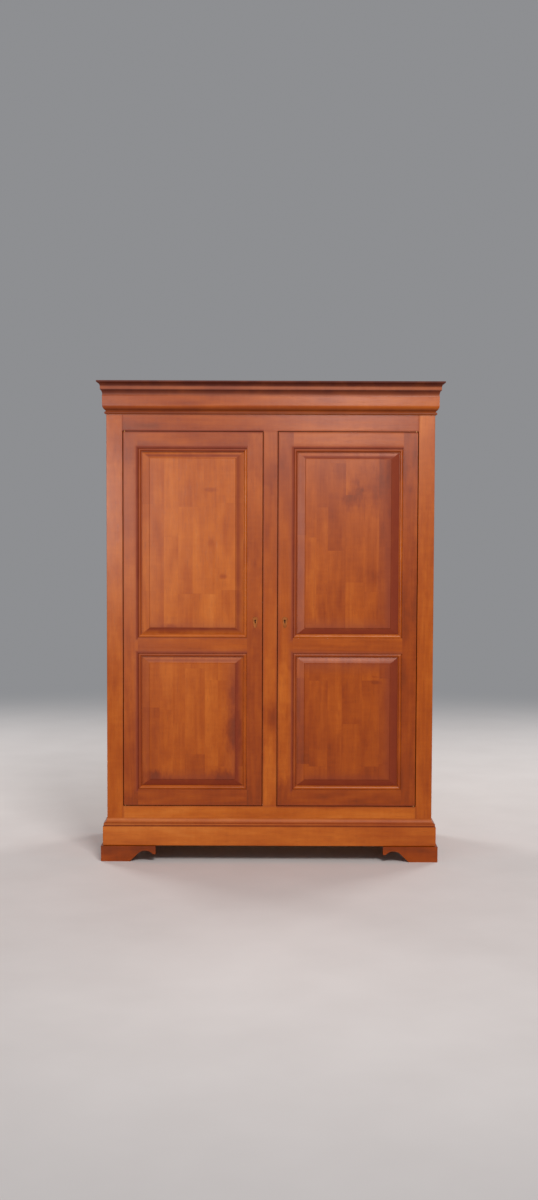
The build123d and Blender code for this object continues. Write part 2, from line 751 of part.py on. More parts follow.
def cornice_section(place):
    """Bead, flat band, cove, fillet and crown, with a ledge inside for the top panel."""
    bead_in, bead_out = cornice_bead
    bead_top = carcass_top + cornice_bead_height
    crown_low = overall_height - cornice_top_edge
    with BuildLine() as outline:
        ThreePointArc(
            place(bead_in, carcass_top),
            place(bead_out, (carcass_top + bead_top) / 2),
            place(bead_in, bead_top),
        )
        Polyline(place(bead_in, bead_top), place(*cornice_neck))
        ThreePointArc(place(*cornice_neck), place(*cornice_band_foot), place(*cornice_band_low))
        Polyline(place(*cornice_band_low), place(*cornice_band_high), place(*cornice_cove_low))
        ThreePointArc(place(*cornice_cove_low), place(*cornice_cove_hollow), place(*cornice_cove_high))
        Polyline(
            place(*cornice_cove_high),
            place(cornice_fillet[0], cornice_cove_high[1]),
            place(*cornice_fillet),
        )
        ThreePointArc(place(*cornice_fillet), place(*cornice_crown_hollow), place(*cornice_crown_high))
        Polyline(
            place(*cornice_crown_high),
            place(cornice_overhang, crown_low),
            place(cornice_overhang, overall_height),
            place(cornice_ledge - cornice_wall, overall_height),
            place(cornice_ledge - cornice_wall, ledge_z),
            place(-cornice_wall, ledge_z),
            place(-cornice_wall, carcass_top),
            place(bead_in, carcass_top),
        )
    make_face(outline.line)


def mitre(side):
    """Upright plane through a front corner of the body, at 45 degrees."""
    return Plane(origin=(side * half_width, front, 0), z_dir=(side, 1, 0))


def front_moulding(section):
    reach = half_width + 2 * cornice_overhang
    with BuildPart() as moulding:
        with BuildSketch(Plane.YZ.offset(-reach)):
            section(lambda out, height: (front - out, height))
        extrude(amount=2 * reach)
        for side in (-1, 1):
            split(bisect_by=mitre(side), keep=Keep.BOTTOM)
    return moulding.part


def side_moulding(section):
    with BuildPart() as moulding:
        with BuildSketch(Plane.XZ.offset(-back)):
            section(lambda out, height: (half_width + out, height))
        extrude(amount=body_depth + 2 * cornice_overhang)
        split(bisect_by=mitre(1), keep=Keep.TOP)
    return moulding.part


save(front_moulding(plinth_section), "plinth_front")
save_pair(side_moulding(plinth_section), "plinth_left", "plinth_right")
save(front_moulding(cornice_section), "cornice_front")
save_pair(side_moulding(cornice_section), "cornice_left", "cornice_right")

cornice_inner = half_width - cornice_wall
with BuildPart() as cornice_back_rail:
    block((-cornice_inner, cornice_inner), (back - cornice_wall, back), (carcass_top, ledge_z))
save(cornice_back_rail.part, "cornice_back_rail")

with BuildPart() as top_panel:
    top_half = cornice_inner + cornice_ledge - small_room
    top_front = front + cornice_wall - cornice_ledge + small_room
    block((-top_half, top_half), (top_front, back), stretch(ledge_z, top_panel_thickness))
save(top_panel.part, "top_panel")


# Bracket feet: shaped boards that meet at the corner. place() turns (in from the corner, height)
# into sketch points.
def bracket_outline(place):
    """Flat pad, a slope up, an arch down to a lug at the tip, and a straight top."""
    slope_end = foot_pad + foot_slope
    arch_end = foot_length - foot_lug
    with BuildLine() as outline:
        Polyline(
            place(arch_end, foot_lug_height),
            place(foot_length, foot_lug_height),
            place(foot_length, foot_height),
            place(0, foot_height),
            place(0, 0),
            place(foot_pad, 0),
            place(slope_end, foot_lug_height),
        )
        ThreePointArc(
            place(slope_end, foot_lug_height),
            place((slope_end + arch_end) / 2, foot_arch_height),
            place(arch_end, foot_lug_height),
        )
    make_face(outline.line)


foot_x = half_width + foot_overhang
foot_front = front - foot_overhang
with BuildPart() as front_foot:
    with BuildSketch(Plane.XZ.offset(-foot_front)):
        bracket_outline(lambda inward, height: (foot_x - inward, height))
    extrude(amount=-foot_board)
    with BuildSketch(Plane.YZ.offset(foot_x)):
        bracket_outline(lambda inward, height: (foot_front + inward, height))
    extrude(amount=-foot_board)
    corner = front_foot.edges().filter_by(Axis.Z).sort_by(Axis.X)[-2:].sort_by(Axis.Y)[0]
    chamfer(corner, length=arris)
save_pair(front_foot.part, "foot_front_left", "foot_front_right")

with BuildPart() as rear_feet:
    with BuildSketch(Plane.YZ.offset(foot_x)):
        bracket_outline(lambda inward, height: (back - inward, height))
    extrude(amount=-foot_board)
    with BuildSketch(Plane.XZ.offset(-back)):
        slope_x = foot_x - rear_foot_width
        Polygon(
            (foot_x, 0),
            (foot_x, foot_height),
            (slope_x, foot_height),
            (slope_x + foot_slope, 0),
            align=None,
        )
    extrude(amount=foot_board)
    mirror(about=Plane.YZ)
save(rear_feet.part, "rear_feet")

# Corner blocks, glued inside the brackets under each post, just clear of the floor
block_outer = foot_x - foot_board
with BuildPart() as foot_blocks:
    block_x = stretch(block_outer, -foot_block_width)
    block_z = (foot_block_lift, foot_height)
    block(block_x, stretch(foot_front + foot_board, foot_block_width), block_z)
    block(block_x, stretch(back - foot_board, -foot_block_width), block_z)
    mirror(about=Plane.YZ)
save(foot_blocks.part, "foot_blocks")

# Inside: a partition behind the centre post, shelves on cleats, and a rail under the right-hand shelf
partition_half = partition_thickness / 2
with BuildPart() as partition:
    partition_y = (front + centre_post_depth, back_y[0])
    block((-partition_half, partition_half), partition_y, (floor_z[1], carcass_top))
save(partition.part, "partition")

shelf_length = opening_half - partition_half - 2 * small_room
with BuildPart() as shelves:
    for side, tops in ((-1, shelf_tops), (1, shelf_tops[-1:])):
        shelf_x = stretch(side * (partition_half + small_room), side * shelf_length)
        for shelf_top in tops:
            block(shelf_x, shelf_y, stretch(shelf_top, -shelf_thickness))
save(shelves.part, "shelves")


# Cleats run from the front post to the rear post, and along the partition
def cleat_pair(side, shelf_top, height):
    cleat_z = stretch(shelf_top - shelf_thickness, -height)
    post_cleat_y = (side_y[0] - cleat_lap, shelf_y[1])
    block(stretch(side * partition_half, side * cleat_thickness), shelf_y, cleat_z)
    block(stretch(side * opening_half, -side * cleat_thickness), post_cleat_y, cleat_z)


with BuildPart() as shelf_cleats:
    for shelf_top in shelf_tops:
        cleat_pair(-1, shelf_top, cleat_height)
    cleat_pair(1, shelf_tops[-1], hanger_cleat_height)
save(shelf_cleats.part, "shelf_cleats")

# Hanging rail: a tube in two flanged cups on the cleats
rail_x = wider((partition_half, opening_half), -cleat_thickness)
rail_cup_rounds = ((socket_flange_radius, socket_flange), (socket_cup_radius, socket_cup_depth))
with BuildPart() as rail_sockets:
    for face_x, outward in ((rail_x[0], 1), (rail_x[1], -1)):
        for radius, length in rail_cup_rounds:
            with BuildSketch(Plane.YZ.offset(face_x)):
                with Locations((rail_y, hanger_z)):
                    Circle(radius)
            extrude(amount=outward * length)
        with BuildSketch(Plane.YZ.offset(face_x + outward * socket_flange)):
            with Locations((rail_y, hanger_z)):
                Circle(rail_radius + cheek_fit)
        extrude(amount=outward * socket_cup_depth, mode=Mode.SUBTRACT)
save(rail_sockets.part, "rail_sockets")

tube_x = wider(rail_x, -socket_flange)
with BuildPart() as hanging_rail:
    with BuildSketch(Plane.YZ.offset(tube_x[0])):
        with Locations((rail_y, hanger_z)):
            Circle(rail_radius)
            Circle(rail_radius - rail_wall, mode=Mode.SUBTRACT)
    extrude(amount=length_of(tube_x))
save(hanging_rail.part, "hanging_rail")
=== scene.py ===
import math

import bmesh
import bpy
from mathutils import Matrix, Vector


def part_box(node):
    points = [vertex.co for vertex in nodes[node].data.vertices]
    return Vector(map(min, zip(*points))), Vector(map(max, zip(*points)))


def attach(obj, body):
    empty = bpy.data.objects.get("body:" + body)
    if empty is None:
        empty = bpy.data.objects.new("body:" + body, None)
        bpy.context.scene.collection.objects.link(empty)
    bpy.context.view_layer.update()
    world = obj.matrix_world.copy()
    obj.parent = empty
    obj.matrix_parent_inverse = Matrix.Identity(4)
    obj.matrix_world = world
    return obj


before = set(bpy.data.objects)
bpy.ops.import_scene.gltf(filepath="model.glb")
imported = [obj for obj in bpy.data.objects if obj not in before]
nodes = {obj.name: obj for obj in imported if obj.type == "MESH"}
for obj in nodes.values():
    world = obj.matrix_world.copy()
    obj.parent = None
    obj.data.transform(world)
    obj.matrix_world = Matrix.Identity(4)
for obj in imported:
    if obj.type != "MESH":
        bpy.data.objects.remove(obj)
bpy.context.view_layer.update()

# Corner posts: four straight lengths of cherry, planed and sanded, stained a reddish brown and finished
# in satin lacquer. The rails are tenoned into them. Each is cut from another board, so its tone drifts
# along it. Painted shade darkens the front posts' inner arrises beside the door gaps, dark stain marks
# the rail joints, and the left post has painted shade at its top and a painted sheen lower down.
cherry_stain = (
    (0.00, (0.085, 0.0130, 0.0025, 1)),
    (0.30, (0.260, 0.0400, 0.0012, 1)),
    (0.50, (0.360, 0.0680, 0.0022, 1)),
    (0.70, (0.460, 0.1060, 0.0065, 1)),
    (1.00, (0.600, 0.1850, 0.0260, 1)),
)
pore_stain = (0.090, 0.015, 0.003, 1)
pore_strength = 0.30
pore_limits = (0.60, 0.74)
pore_sink = -0.7
ring_count = 80
sway_reach = (0.035, 0.035, 0)
board_shift = (1.37, 0.71, 2.13)
fibre_roughness = 0.10
lacquer_relief = 0.25
lacquer_relief_depth = 0.0002
lacquer_roughness = 0.30
left_post_roughness = 0.25
lacquer_specular = 0.28
glaze_and_shade_colour = (0.180, 0.0200, 0.0014, 1)
glaze_dulling = 0.30
rag_cycles = (14, 14, 14)
rag_limits = (0.3, 0.7)
left_by_rag = (0.86, 1.10)
cloud_cycles = (45, 45, 20)
cloud_raggedness = 1.6
cloud_limits = (0.15, 1.15)
through_board = 100
grain_turns = {"z": (0, 0, 0), "x": (0, -math.pi / 2, 0), "y": (math.pi / 2, 0, 0)}
opening_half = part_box("front_post_right")[0].x
door_low, door_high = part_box("right_door_hinge_stile")
door_gap = 0.003
opening_middle = (door_low.z + door_high.z) / 2
opening_reach = (door_high.z - door_low.z) / 2 + door_gap
edge_reach = 0.0085
arris_width = 0.003
arris_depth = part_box("front_post_right")[0].y + arris_width
joint_stain = 0.30


def wire(tree, kind, inputs=None, **settings):
    """Add a node to a tree, with its settings and with its inputs set to values or joined to sockets."""
    node = tree.nodes.new(kind)
    for name, value in settings.items():
        setattr(node, name, value)
    for name, value in (inputs or {}).items():
        if isinstance(value, bpy.types.NodeSocket):
            tree.links.new(value, node.inputs[name])
        else:
            node.inputs[name].default_value = value
    return node


def sums(tree, operation, first, second=0.0, third=0.0):
    """One step of arithmetic on numbers or sockets."""
    return wire(tree, "ShaderNodeMath", {0: first, 1: second, 2: third}, operation=operation).outputs[0]


def axes_of(tree, place):
    """A place's X, Y and Z."""
    return wire(tree, "ShaderNodeSeparateXYZ", {0: place}).outputs


def between(tree, value, low, high, start=0.0, end=1.0, smooth=False):
    """A value's place between two limits, as a number from start to end."""
    kind = "SMOOTHSTEP" if smooth else "LINEAR"
    inputs = {0: value, 1: low, 2: high, 3: start, 4: end}
    return wire(tree, "ShaderNodeMapRange", inputs, interpolation_type=kind).outputs[0]


def drawn_out_noise(tree, vector, cycles, detail, roughness=0.5):
    """Noise drawn out along the grain, in cycles a metre on each axis."""
    mapped = wire(tree, "ShaderNodeMapping", {"Vector": vector, "Scale": cycles})
    inputs = {"Vector": mapped.outputs[0], "Scale": 1.0, "Detail": detail, "Roughness": roughness}
    return wire(tree, "ShaderNodeTexNoise", inputs)


def ramp(tree, factor, stops, interpolation="LINEAR"):
    """Colour ramp from (place, colour) stops in rising order."""
    node = wire(tree, "ShaderNodeValToRGB", {0: factor})
    band = node.color_ramp
    band.interpolation = interpolation
    while len(band.elements) < len(stops):
        band.elements.new(1.0)
    for element, (place, colour) in zip(band.elements, stops):
        element.position = place
        element.color = colour
    return node.outputs[0]


def mix_colour(tree, factor, first, second):
    """Lay one colour over another."""
    node = wire(tree, "ShaderNodeMix", data_type="RGBA")
    for index, value in ((0, factor), (6, first), (7, second)):
        if isinstance(value, bpy.types.NodeSocket):
            tree.links.new(value, node.inputs[index])
        else:
            node.inputs[index].default_value = value
    return node.outputs[2]


def timber_figure():
    """The figure of a board: growth rings, fibres, ripple, pores and the clouds that stain makes."""
    tree = bpy.data.node_groups.new("timber_figure", "ShaderNodeTree")
    for name, kind, way in (
        ("Grain", "NodeSocketVector", "INPUT"),
        ("Tone", "NodeSocketFloat", "INPUT"),
        ("Level", "NodeSocketFloat", "OUTPUT"),
        ("Pores", "NodeSocketFloat", "OUTPUT"),
        ("Fibres", "NodeSocketFloat", "OUTPUT"),
    ):
        tree.interface.new_socket(name, in_out=way, socket_type=kind)
    given = wire(tree, "NodeGroupInput").outputs
    sway = drawn_out_noise(tree, given["Grain"], cycles=(4, 4, 0.9), detail=2).outputs["Color"]
    swayed = {0: sway, 1: sway_reach, 2: given["Grain"]}
    grain = wire(tree, "ShaderNodeVectorMath", swayed, operation="MULTIPLY_ADD").outputs[0]
    growth = drawn_out_noise(tree, grain, cycles=(7, 7, 0.45), detail=1).outputs[0]
    rings = sums(tree, "SINE", sums(tree, "MULTIPLY", growth, ring_count))
    fibres = drawn_out_noise(tree, grain, cycles=(150, 150, 2.5), detail=4, roughness=0.6).outputs[0]
    patches = drawn_out_noise(tree, grain, cycles=(9, 9, 2.2), detail=3, roughness=0.55).outputs[0]
    clouds = drawn_out_noise(tree, grain, cycles=(22, 22, 9), detail=2).outputs[0]
    ripple = drawn_out_noise(tree, grain, cycles=(14, 14, 75), detail=1).outputs[0]
    specks = drawn_out_noise(tree, grain, cycles=(900, 900, 24), detail=1).outputs[0]
    pores = between(tree, specks, *pore_limits)
    level = given["Tone"]
    for layer, middle, weight in (
        (rings, 0.0, 0.020),
        (fibres, 0.5, 0.13),
        (patches, 0.5, 0.60),
        (clouds, 0.5, 0.30),
        (ripple, 0.5, 0.09),
    ):
        level = sums(tree, "MULTIPLY_ADD", sums(tree, "SUBTRACT", layer, middle), weight, level)
    out = wire(tree, "NodeGroupOutput")
    for name, socket in (("Level", level), ("Pores", pores), ("Fibres", fibres)):
        tree.links.new(socket, out.inputs[name])
    return tree


figured_timber = timber_figure()


def board_tone(tree, place, box, along, tones):
    """Tone that drifts from a board's low end to its high end."""
    axis = "xyz".index(along)
    return between(tree, axes_of(tree, place)[axis], box[0][axis], box[1][axis], *tones)


def timber(
    names,
    along,
    tones,
    seed,
    stain=cherry_stain,
    gloss=lacquer_roughness,
    strips=None,
    marks=(),
    glaze=None,
    glaze_and_shade_tint=glaze_and_shade_colour,
):
    """Finish CAD nodes as one board, with its grain along an axis and its figure moved by the seed."""
    material = bpy.data.materials.new(f"{names[0]}_timber")
    material.use_nodes = True
    tree = material.node_tree
    shader = tree.nodes["Principled BSDF"]
    place = wire(tree, "ShaderNodeTexCoord").outputs["Object"]
    shift = tuple(step * seed for step in board_shift)
    turned = {"Vector": place, "Rotation": grain_turns[along], "Location": shift}
    grain = wire(tree, "ShaderNodeMapping", turned).outputs[0]
    tone = board_tone(tree, place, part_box(names[0]), along, tones)
    if strips:
        grain, tone = strips(tree, place, grain, tone)
    for mark in marks:
        tone = mark(tree, place, tone)
    figure = wire(tree, "ShaderNodeGroup", node_tree=figured_timber)
    tree.links.new(grain, figure.inputs["Grain"])
    tree.links.new(tone, figure.inputs["Tone"])
    colour = ramp(tree, figure.outputs["Level"], stain)
    filled = sums(tree, "MULTIPLY", figure.outputs["Pores"], pore_strength)
    colour = mix_colour(tree, filled, colour, pore_stain)
    smoothest = gloss - fibre_roughness / 2
    roughness = sums(tree, "MULTIPLY_ADD", figure.outputs["Fibres"], fibre_roughness, smoothest)
    # The glaze mask lays the dark tint as glaze, and as painted shade where it follows the light: on the
    # cornice, the plinth, the door frames and panels, and beside the door gaps.
    if glaze:
        patchy = drawn_out_noise(tree, place, rag_cycles, detail=2).outputs[0]
        left = between(tree, patchy, *rag_limits, *left_by_rag)
        strength = sums(tree, "MULTIPLY", glaze(tree, place), left)
        colour = mix_colour(tree, strength, colour, glaze_and_shade_tint)
        roughness = sums(tree, "MULTIPLY_ADD", strength, glaze_dulling, roughness)
    tree.links.new(colour, shader.inputs["Base Color"])
    tree.links.new(roughness, shader.inputs["Roughness"])
    shader.inputs["Specular IOR Level"].default_value = lacquer_specular
    relief = sums(tree, "MULTIPLY_ADD", figure.outputs["Pores"], pore_sink, figure.outputs["Fibres"])
    raised = {"Height": relief, "Strength": lacquer_relief, "Distance": lacquer_relief_depth}
    bump = wire(tree, "ShaderNodeBump", raised)
    tree.links.new(bump.outputs[0], shader.inputs["Normal"])
    for name in names:
        nodes[name].material_slots[0].material = material


def edge_line(tree, value, edge, most):
    """Strength of a dark line along an edge: the most on the edge itself, nothing past its reach."""
    away = sums(tree, "ABSOLUTE", sums(tree, "SUBTRACT", value, edge))
    return between(tree, away, 0.0, edge_reach, most, 0.0)


def one_or_other(tree, chosen, first, second):
    """The first strength where chosen is 1, the second where it is 0."""
    apart = sums(tree, "SUBTRACT", first, second)
    return sums(tree, "MULTIPLY_ADD", chosen, apart, second)


def front_only(tree, axes, depth, strength):
    """A strength kept to the front of a piece, as far back as a depth."""
    return sums(tree, "MULTIPLY", strength, sums(tree, "LESS_THAN", axes[1], depth))


def post_lines(most):
    """A dark line on a front post's inner arris: painted shade of the door gap beside the door, and
    stain at the joints where the rails meet it.
    """
    def lay(tree, place):
        axes = axes_of(tree, place)
        line = edge_line(tree, sums(tree, "ABSOLUTE", axes[0]), opening_half, 1.0)
        from_middle = sums(tree, "ABSOLUTE", sums(tree, "SUBTRACT", axes[2], opening_middle))
        beside_door = sums(tree, "LESS_THAN", from_middle, opening_reach)
        strength = sums(tree, "MULTIPLY", line, one_or_other(tree, beside_door, most, joint_stain))
        return front_only(tree, axes, arris_depth, strength)

    return lay


def tone_cloud(x, z, wide, high, depth, lean=0):
    """A soft ragged cloud of darker tone, or paler for a depth below 0, leaning by degrees."""
    def draw(tree, place, tone):
        centred = {
            "Vector": place,
            "Location": (x, 0, z),
            "Rotation": (0, math.radians(lean), 0),
            "Scale": (wide / 2, through_board, high / 2),
        }
        spot = wire(tree, "ShaderNodeMapping", centred, vector_type="TEXTURE").outputs[0]
        away = wire(tree, "ShaderNodeVectorMath", {0: spot}, operation="LENGTH").outputs["Value"]
        ragged = drawn_out_noise(tree, place, cloud_cycles, detail=3).outputs[0]
        edge = sums(tree, "MULTIPLY_ADD", sums(tree, "SUBTRACT", ragged, 0.5), cloud_raggedness, away)
        return sums(tree, "ADD", tone, between(tree, edge, *cloud_limits, -depth, 0.0, smooth=True))

    return draw


# Painted light on the left post: painted shade at its top and a painted sheen lower down.
left_post_painted_sheen = [
    tone_cloud(-0.67, 1.88, wide=0.40, high=0.44, depth=0.15),
    tone_cloud(-0.67, 1.38, wide=0.40, high=0.44, depth=-0.08),
]
right_post_clouds = [tone_cloud(0.67, 1.36, wide=0.40, high=0.44, depth=0.10)]
timber(
    ["front_post_left"],
    "z",
    tones=(0.54, 0.54),
    seed=1,
    gloss=left_post_roughness,
    marks=left_post_painted_sheen,
    glaze=post_lines(most=0.30),
)
timber(
    ["front_post_right"],
    "z",
    tones=(0.42, 0.58),
    seed=2,
    marks=right_post_clouds,
    glaze=post_lines(most=0.10),
)
timber(["rear_post_left"], "z", tones=(0.50, 0.54), seed=3)
timber(["rear_post_right"], "z", tones=(0.48, 0.55), seed=4)

# Front rails and centre post: the front frame of solid cherry, tenoned together flush, with the doors
# hung inside it. The rails' grain runs across and the post's upwards. Painted shade of the door gaps
# darkens the edges beside the doors, and dark stain lies where one piece's shoulder meets another.
post_half = 0.031
centre_post_shade = 0.45


def rail_lines(edge_z, left_most, right_most):
    """Painted shade of the door gap along a rail's edge over or under each door, and dark stain at its
    shoulders on the corner posts.
    """
    def lay(tree, place):
        axes = axes_of(tree, place)
        across = sums(tree, "ABSOLUTE", axes[0])
        shoulder = edge_line(tree, across, opening_half, joint_stain)
        beside_door = sums(tree, "GREATER_THAN", across, post_half)
        on_left = sums(tree, "LESS_THAN", axes[0], 0.0)
        door_shade = one_or_other(tree, on_left, left_most, right_most)
        strength = one_or_other(tree, beside_door, door_shade, joint_stain)
        door_edge = sums(tree, "MULTIPLY", edge_line(tree, axes[2], edge_z, 1.0), strength)
        return front_only(tree, axes, arris_depth, sums(tree, "MAXIMUM", shoulder, door_edge))

    return lay


def centre_post_lines(tree, place):
    """Painted shade of the door gaps along both edges of the centre post, and dark stain at its
    shoulders.
    """
    axes = axes_of(tree, place)
    door_edge = edge_line(tree, sums(tree, "ABSOLUTE", axes[0]), post_half, centre_post_shade)
    from_middle = sums(tree, "ABSOLUTE", sums(tree, "SUBTRACT", axes[2], opening_middle))
    shoulder = edge_line(tree, from_middle, opening_reach, joint_stain)
    return front_only(tree, axes, arris_depth, sums(tree, "MAXIMUM", door_edge, shoulder))


timber(
    ["front_top_rail"],
    "x",
    tones=(0.34, 0.40),
    seed=5,
    glaze=rail_lines(opening_middle + opening_reach, left_most=1.0, right_most=0.5),
)
timber(
    ["front_bottom_rail"],
    "x",
    tones=(0.67, 0.63),
    seed=6,
    glaze=rail_lines(opening_middle - opening_reach, left_most=0.6, right_most=0.8),
)
centre_post_clouds = [
    tone_cloud(0, 1.690, wide=0.14, high=0.14, depth=0.11),
    tone_cloud(0, 0.640, wide=0.14, high=0.16, depth=0.14),
    tone_cloud(0, 0.340, wide=0.30, high=0.50, depth=-0.20),
]
timber(
    ["centre_post"],
    "z",
    tones=(0.44, 0.46),
    seed=7,
    marks=centre_post_clouds,
    glaze=centre_post_lines,
)

# Side frames: three cherry rails on each side, tenoned between the posts, with two raised panels held
# loose in their grooves so that they can swell and shrink. Dark glaze was wiped over the panels and
# stays in the foot of their bevels and along the step up to the field.
side_rail_levels = ("bottom", "middle", "top")
side_rail_boxes = [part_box(f"left_side_{level}_rail") for level in side_rail_levels]
side_rail_z = [(low.z, high.z) for low, high in side_rail_boxes]
side_panel_z = [(below[1], above[0]) for below, above in zip(side_rail_z, side_rail_z[1:])]
side_panel_y = (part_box("front_post_left")[1].y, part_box("rear_post_left")[0].y)
side_panel_skin = 0.001
side_panel_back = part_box("right_side_panels")[0].x + side_panel_skin
side_glaze_reach = 0.06
side_bevel_glaze = (
    (0.000, 0.80),
    (0.004, 0.40),
    (0.010, 0.12),
    (0.034, 0.12),
    (0.039, 0.60),
    (0.043, 0.30),
    (0.055, 0.00),
)


def out_of(tree, value, limits):
    """How far a coordinate lies outside a stretch; less than nothing inside it."""
    below = sums(tree, "SUBTRACT", limits[0], value)
    above = sums(tree, "SUBTRACT", value, limits[1])
    return sums(tree, "MAXIMUM", below, above)


def glaze_and_shade_bands(tree, distance, profile, low, high):
    """Strength of glaze and painted shade from (place, strength) points along a profile, in metres."""
    spread = between(tree, distance, low, high)
    stops = [((place - low) / (high - low), (much, much, much, 1)) for place, much in profile]
    return ramp(tree, spread, stops)


def side_panel_glaze(tree, place):
    """Glaze of one side's two panels, by how far in a place is from the frame round it."""
    axes = axes_of(tree, place)
    lower, upper = [out_of(tree, axes[2], limits) for limits in side_panel_z]
    past_ends = sums(tree, "MINIMUM", lower, upper)
    outside = sums(tree, "MAXIMUM", out_of(tree, axes[1], side_panel_y), past_ends)
    inset = sums(tree, "MULTIPLY", outside, -1.0)
    strength = glaze_and_shade_bands(tree, inset, side_bevel_glaze, 0.0, side_glaze_reach)
    shown = sums(tree, "GREATER_THAN", sums(tree, "ABSOLUTE", axes[0]), side_panel_back)
    return sums(tree, "MULTIPLY", strength, shown)


for seed, side in ((8, "left"), (10, "right")):
    rails = [f"{side}_side_{level}_rail" for level in reversed(side_rail_levels)]
    timber(rails, "y", tones=(0.47, 0.52), seed=seed)
    timber(
        [f"{side}_side_panels"],
        "z",
        tones=(0.50, 0.56),
        seed=seed + 1,
        glaze=side_panel_glaze,
    )

# Back, floor, top, partition and shelves: plain planed boards that the closed doors hide, under a thin
# matt varnish with no stain. The boards sit in grooves, and the shelves lie loose on screwed cleats.
varnished_stain = (
    (0.00, (0.200, 0.080, 0.028, 1)),
    (0.50, (0.420, 0.215, 0.090, 1)),
    (1.00, (0.640, 0.400, 0.210, 1)),
)
varnish_roughness = 0.55
inside = {"stain": varnished_stain, "gloss": varnish_roughness}
cross_rails = ["back_top_rail", "back_bottom_rail", "cornice_back_rail", "foot_blocks"]
timber(["back_muntin"], "z", tones=(0.5, 0.5), seed=12, **inside)
timber(cross_rails, "x", tones=(0.5, 0.5), seed=13, **inside)
timber(["floor_panel"], "x", tones=(0.52, 0.52), seed=14, **inside)
timber(["shelves"], "x", tones=(0.52, 0.52), seed=15, **inside)
timber(["top_panel"], "x", tones=(0.5, 0.5), seed=16, **inside)
timber(["back_panels", "partition"], "z", tones=(0.52, 0.52), seed=17, **inside)
timber(["shelf_cleats"], "y", tones=(0.5, 0.5), seed=18, **inside)

# Door frames: cherry stiles and rails, tenoned together, with a moulding worked on their inner edges
# and mitred in the corners. Dark glaze lies in the quirks, with painted shade over it: thick above and
# left of each panel, where the moulding faces away from the light, and thin on the other two sides,
# where a painted highlight pales the bead. Painted shade also runs along the doors' edges, by the gaps.
tongue = 0.008
panel_low, panel_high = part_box("right_door_upper_panel")
lower_low, lower_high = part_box("right_door_lower_panel")
sight_x = (panel_low.x + tongue, panel_high.x - tongue)
upper_sight = (panel_low.z + tongue, panel_high.z - tongue)
lower_sight = (lower_low.z + tongue, lower_high.z - tongue)
middle_rail_centre = (upper_sight[0] + lower_sight[1]) / 2
lock_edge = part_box("right_door_lock_stile")[0].x
hinge_edge = door_high.x
moulding_thickness = 0.012
moulding_back = door_low.y + moulding_thickness
frame_dark_reach = 0.08
thick_glaze_and_shade = (
    (0.0000, 0.45),
    (0.0030, 0.70),
    (0.0060, 0.65),
    (0.0085, 0.50),
    (0.0120, 0.55),
    (0.0150, 0.95),
    (0.0220, 1.00),
    (0.0250, 0.55),
    (0.0290, 0.20),
    (0.0400, 0.00),
)
thin_moulding_glaze = (
    (0.0000, 0.00),
    (0.0120, 0.00),
    (0.0150, 0.45),
    (0.0185, 0.50),
    (0.0210, 0.20),
    (0.0260, 0.00),
)
highlight_width = 0.0145
highlight_fade = 0.002
highlight_step = 0.13


def from_sight(tree, axes):
    """Distance out from the nearest panel's sight line, alike on both doors and mitred at corners."""
    across = out_of(tree, sums(tree, "ABSOLUTE", axes[0]), sight_x)
    upper = out_of(tree, axes[2], upper_sight)
    lower = out_of(tree, axes[2], lower_sight)
    return sums(tree, "MAXIMUM", across, sums(tree, "MINIMUM", upper, lower))


def door_frame_glaze_and_shade(mouldings, edges):
    """Glaze and painted shade of a stile or rail, from strengths of thick and thin moulding glaze and of
    painted shade along its outer edges.

    The thick is glaze with painted shade, for mouldings that face away from the light. The middle rails
    have both, the thick on their lower edge and the thin on their upper one.
    """
    thick, thin = mouldings

    def lay(tree, place):
        axes = axes_of(tree, place)
        distance = from_sight(tree, axes)
        thick_bands = glaze_and_shade_bands(tree, distance, thick_glaze_and_shade, 0.0, frame_dark_reach)
        thin_bands = glaze_and_shade_bands(tree, distance, thin_moulding_glaze, 0.0, frame_dark_reach)
        much = sums(tree, "MULTIPLY", thick_bands, thick)
        little = sums(tree, "MULTIPLY", thin_bands, thin)
        strength = sums(tree, "MAXIMUM", much, little)
        if thick and thin:
            lower_edge = sums(tree, "LESS_THAN", axes[2], middle_rail_centre)
            strength = one_or_other(tree, lower_edge, much, little)
        across = sums(tree, "ABSOLUTE", axes[0])
        for value, edge, most in zip(
            (across, across, axes[2], axes[2]),
            (lock_edge, hinge_edge, door_low.z, door_high.z),
            edges,
        ):
            line = edge_line(tree, value, edge, most)
            line = front_only(tree, axes, door_low.y + arris_width, line)
            strength = sums(tree, "MAXIMUM", strength, line)
        return front_only(tree, axes, moulding_back, strength)

    return lay


def painted_bead_highlight(tree, place, tone):
    """Painted highlight: a paler tone on the bead below each panel and on its right, where the light
    catches it.
    """
    axes = axes_of(tree, place)
    out = from_sight(tree, axes)
    highlight = between(tree, out, highlight_width, highlight_width + highlight_fade, highlight_step, 0.0)
    below_upper = sums(tree, "GREATER_THAN", axes[2], middle_rail_centre)
    below_lower = sums(tree, "LESS_THAN", axes[2], lower_sight[0])
    beside = out_of(tree, axes[0], (sight_x[1], hinge_edge))
    right_door = sums(tree, "LESS_THAN", beside, 0.0)
    beside = out_of(tree, axes[0], (-sight_x[0], -lock_edge))
    left_door = sums(tree, "LESS_THAN", beside, 0.0)
    shown = below_upper
    for part in (below_lower, right_door, left_door):
        shown = sums(tree, "MAXIMUM", shown, part)
    return sums(tree, "MULTIPLY_ADD", front_only(tree, axes, moulding_back, highlight), shown, tone)


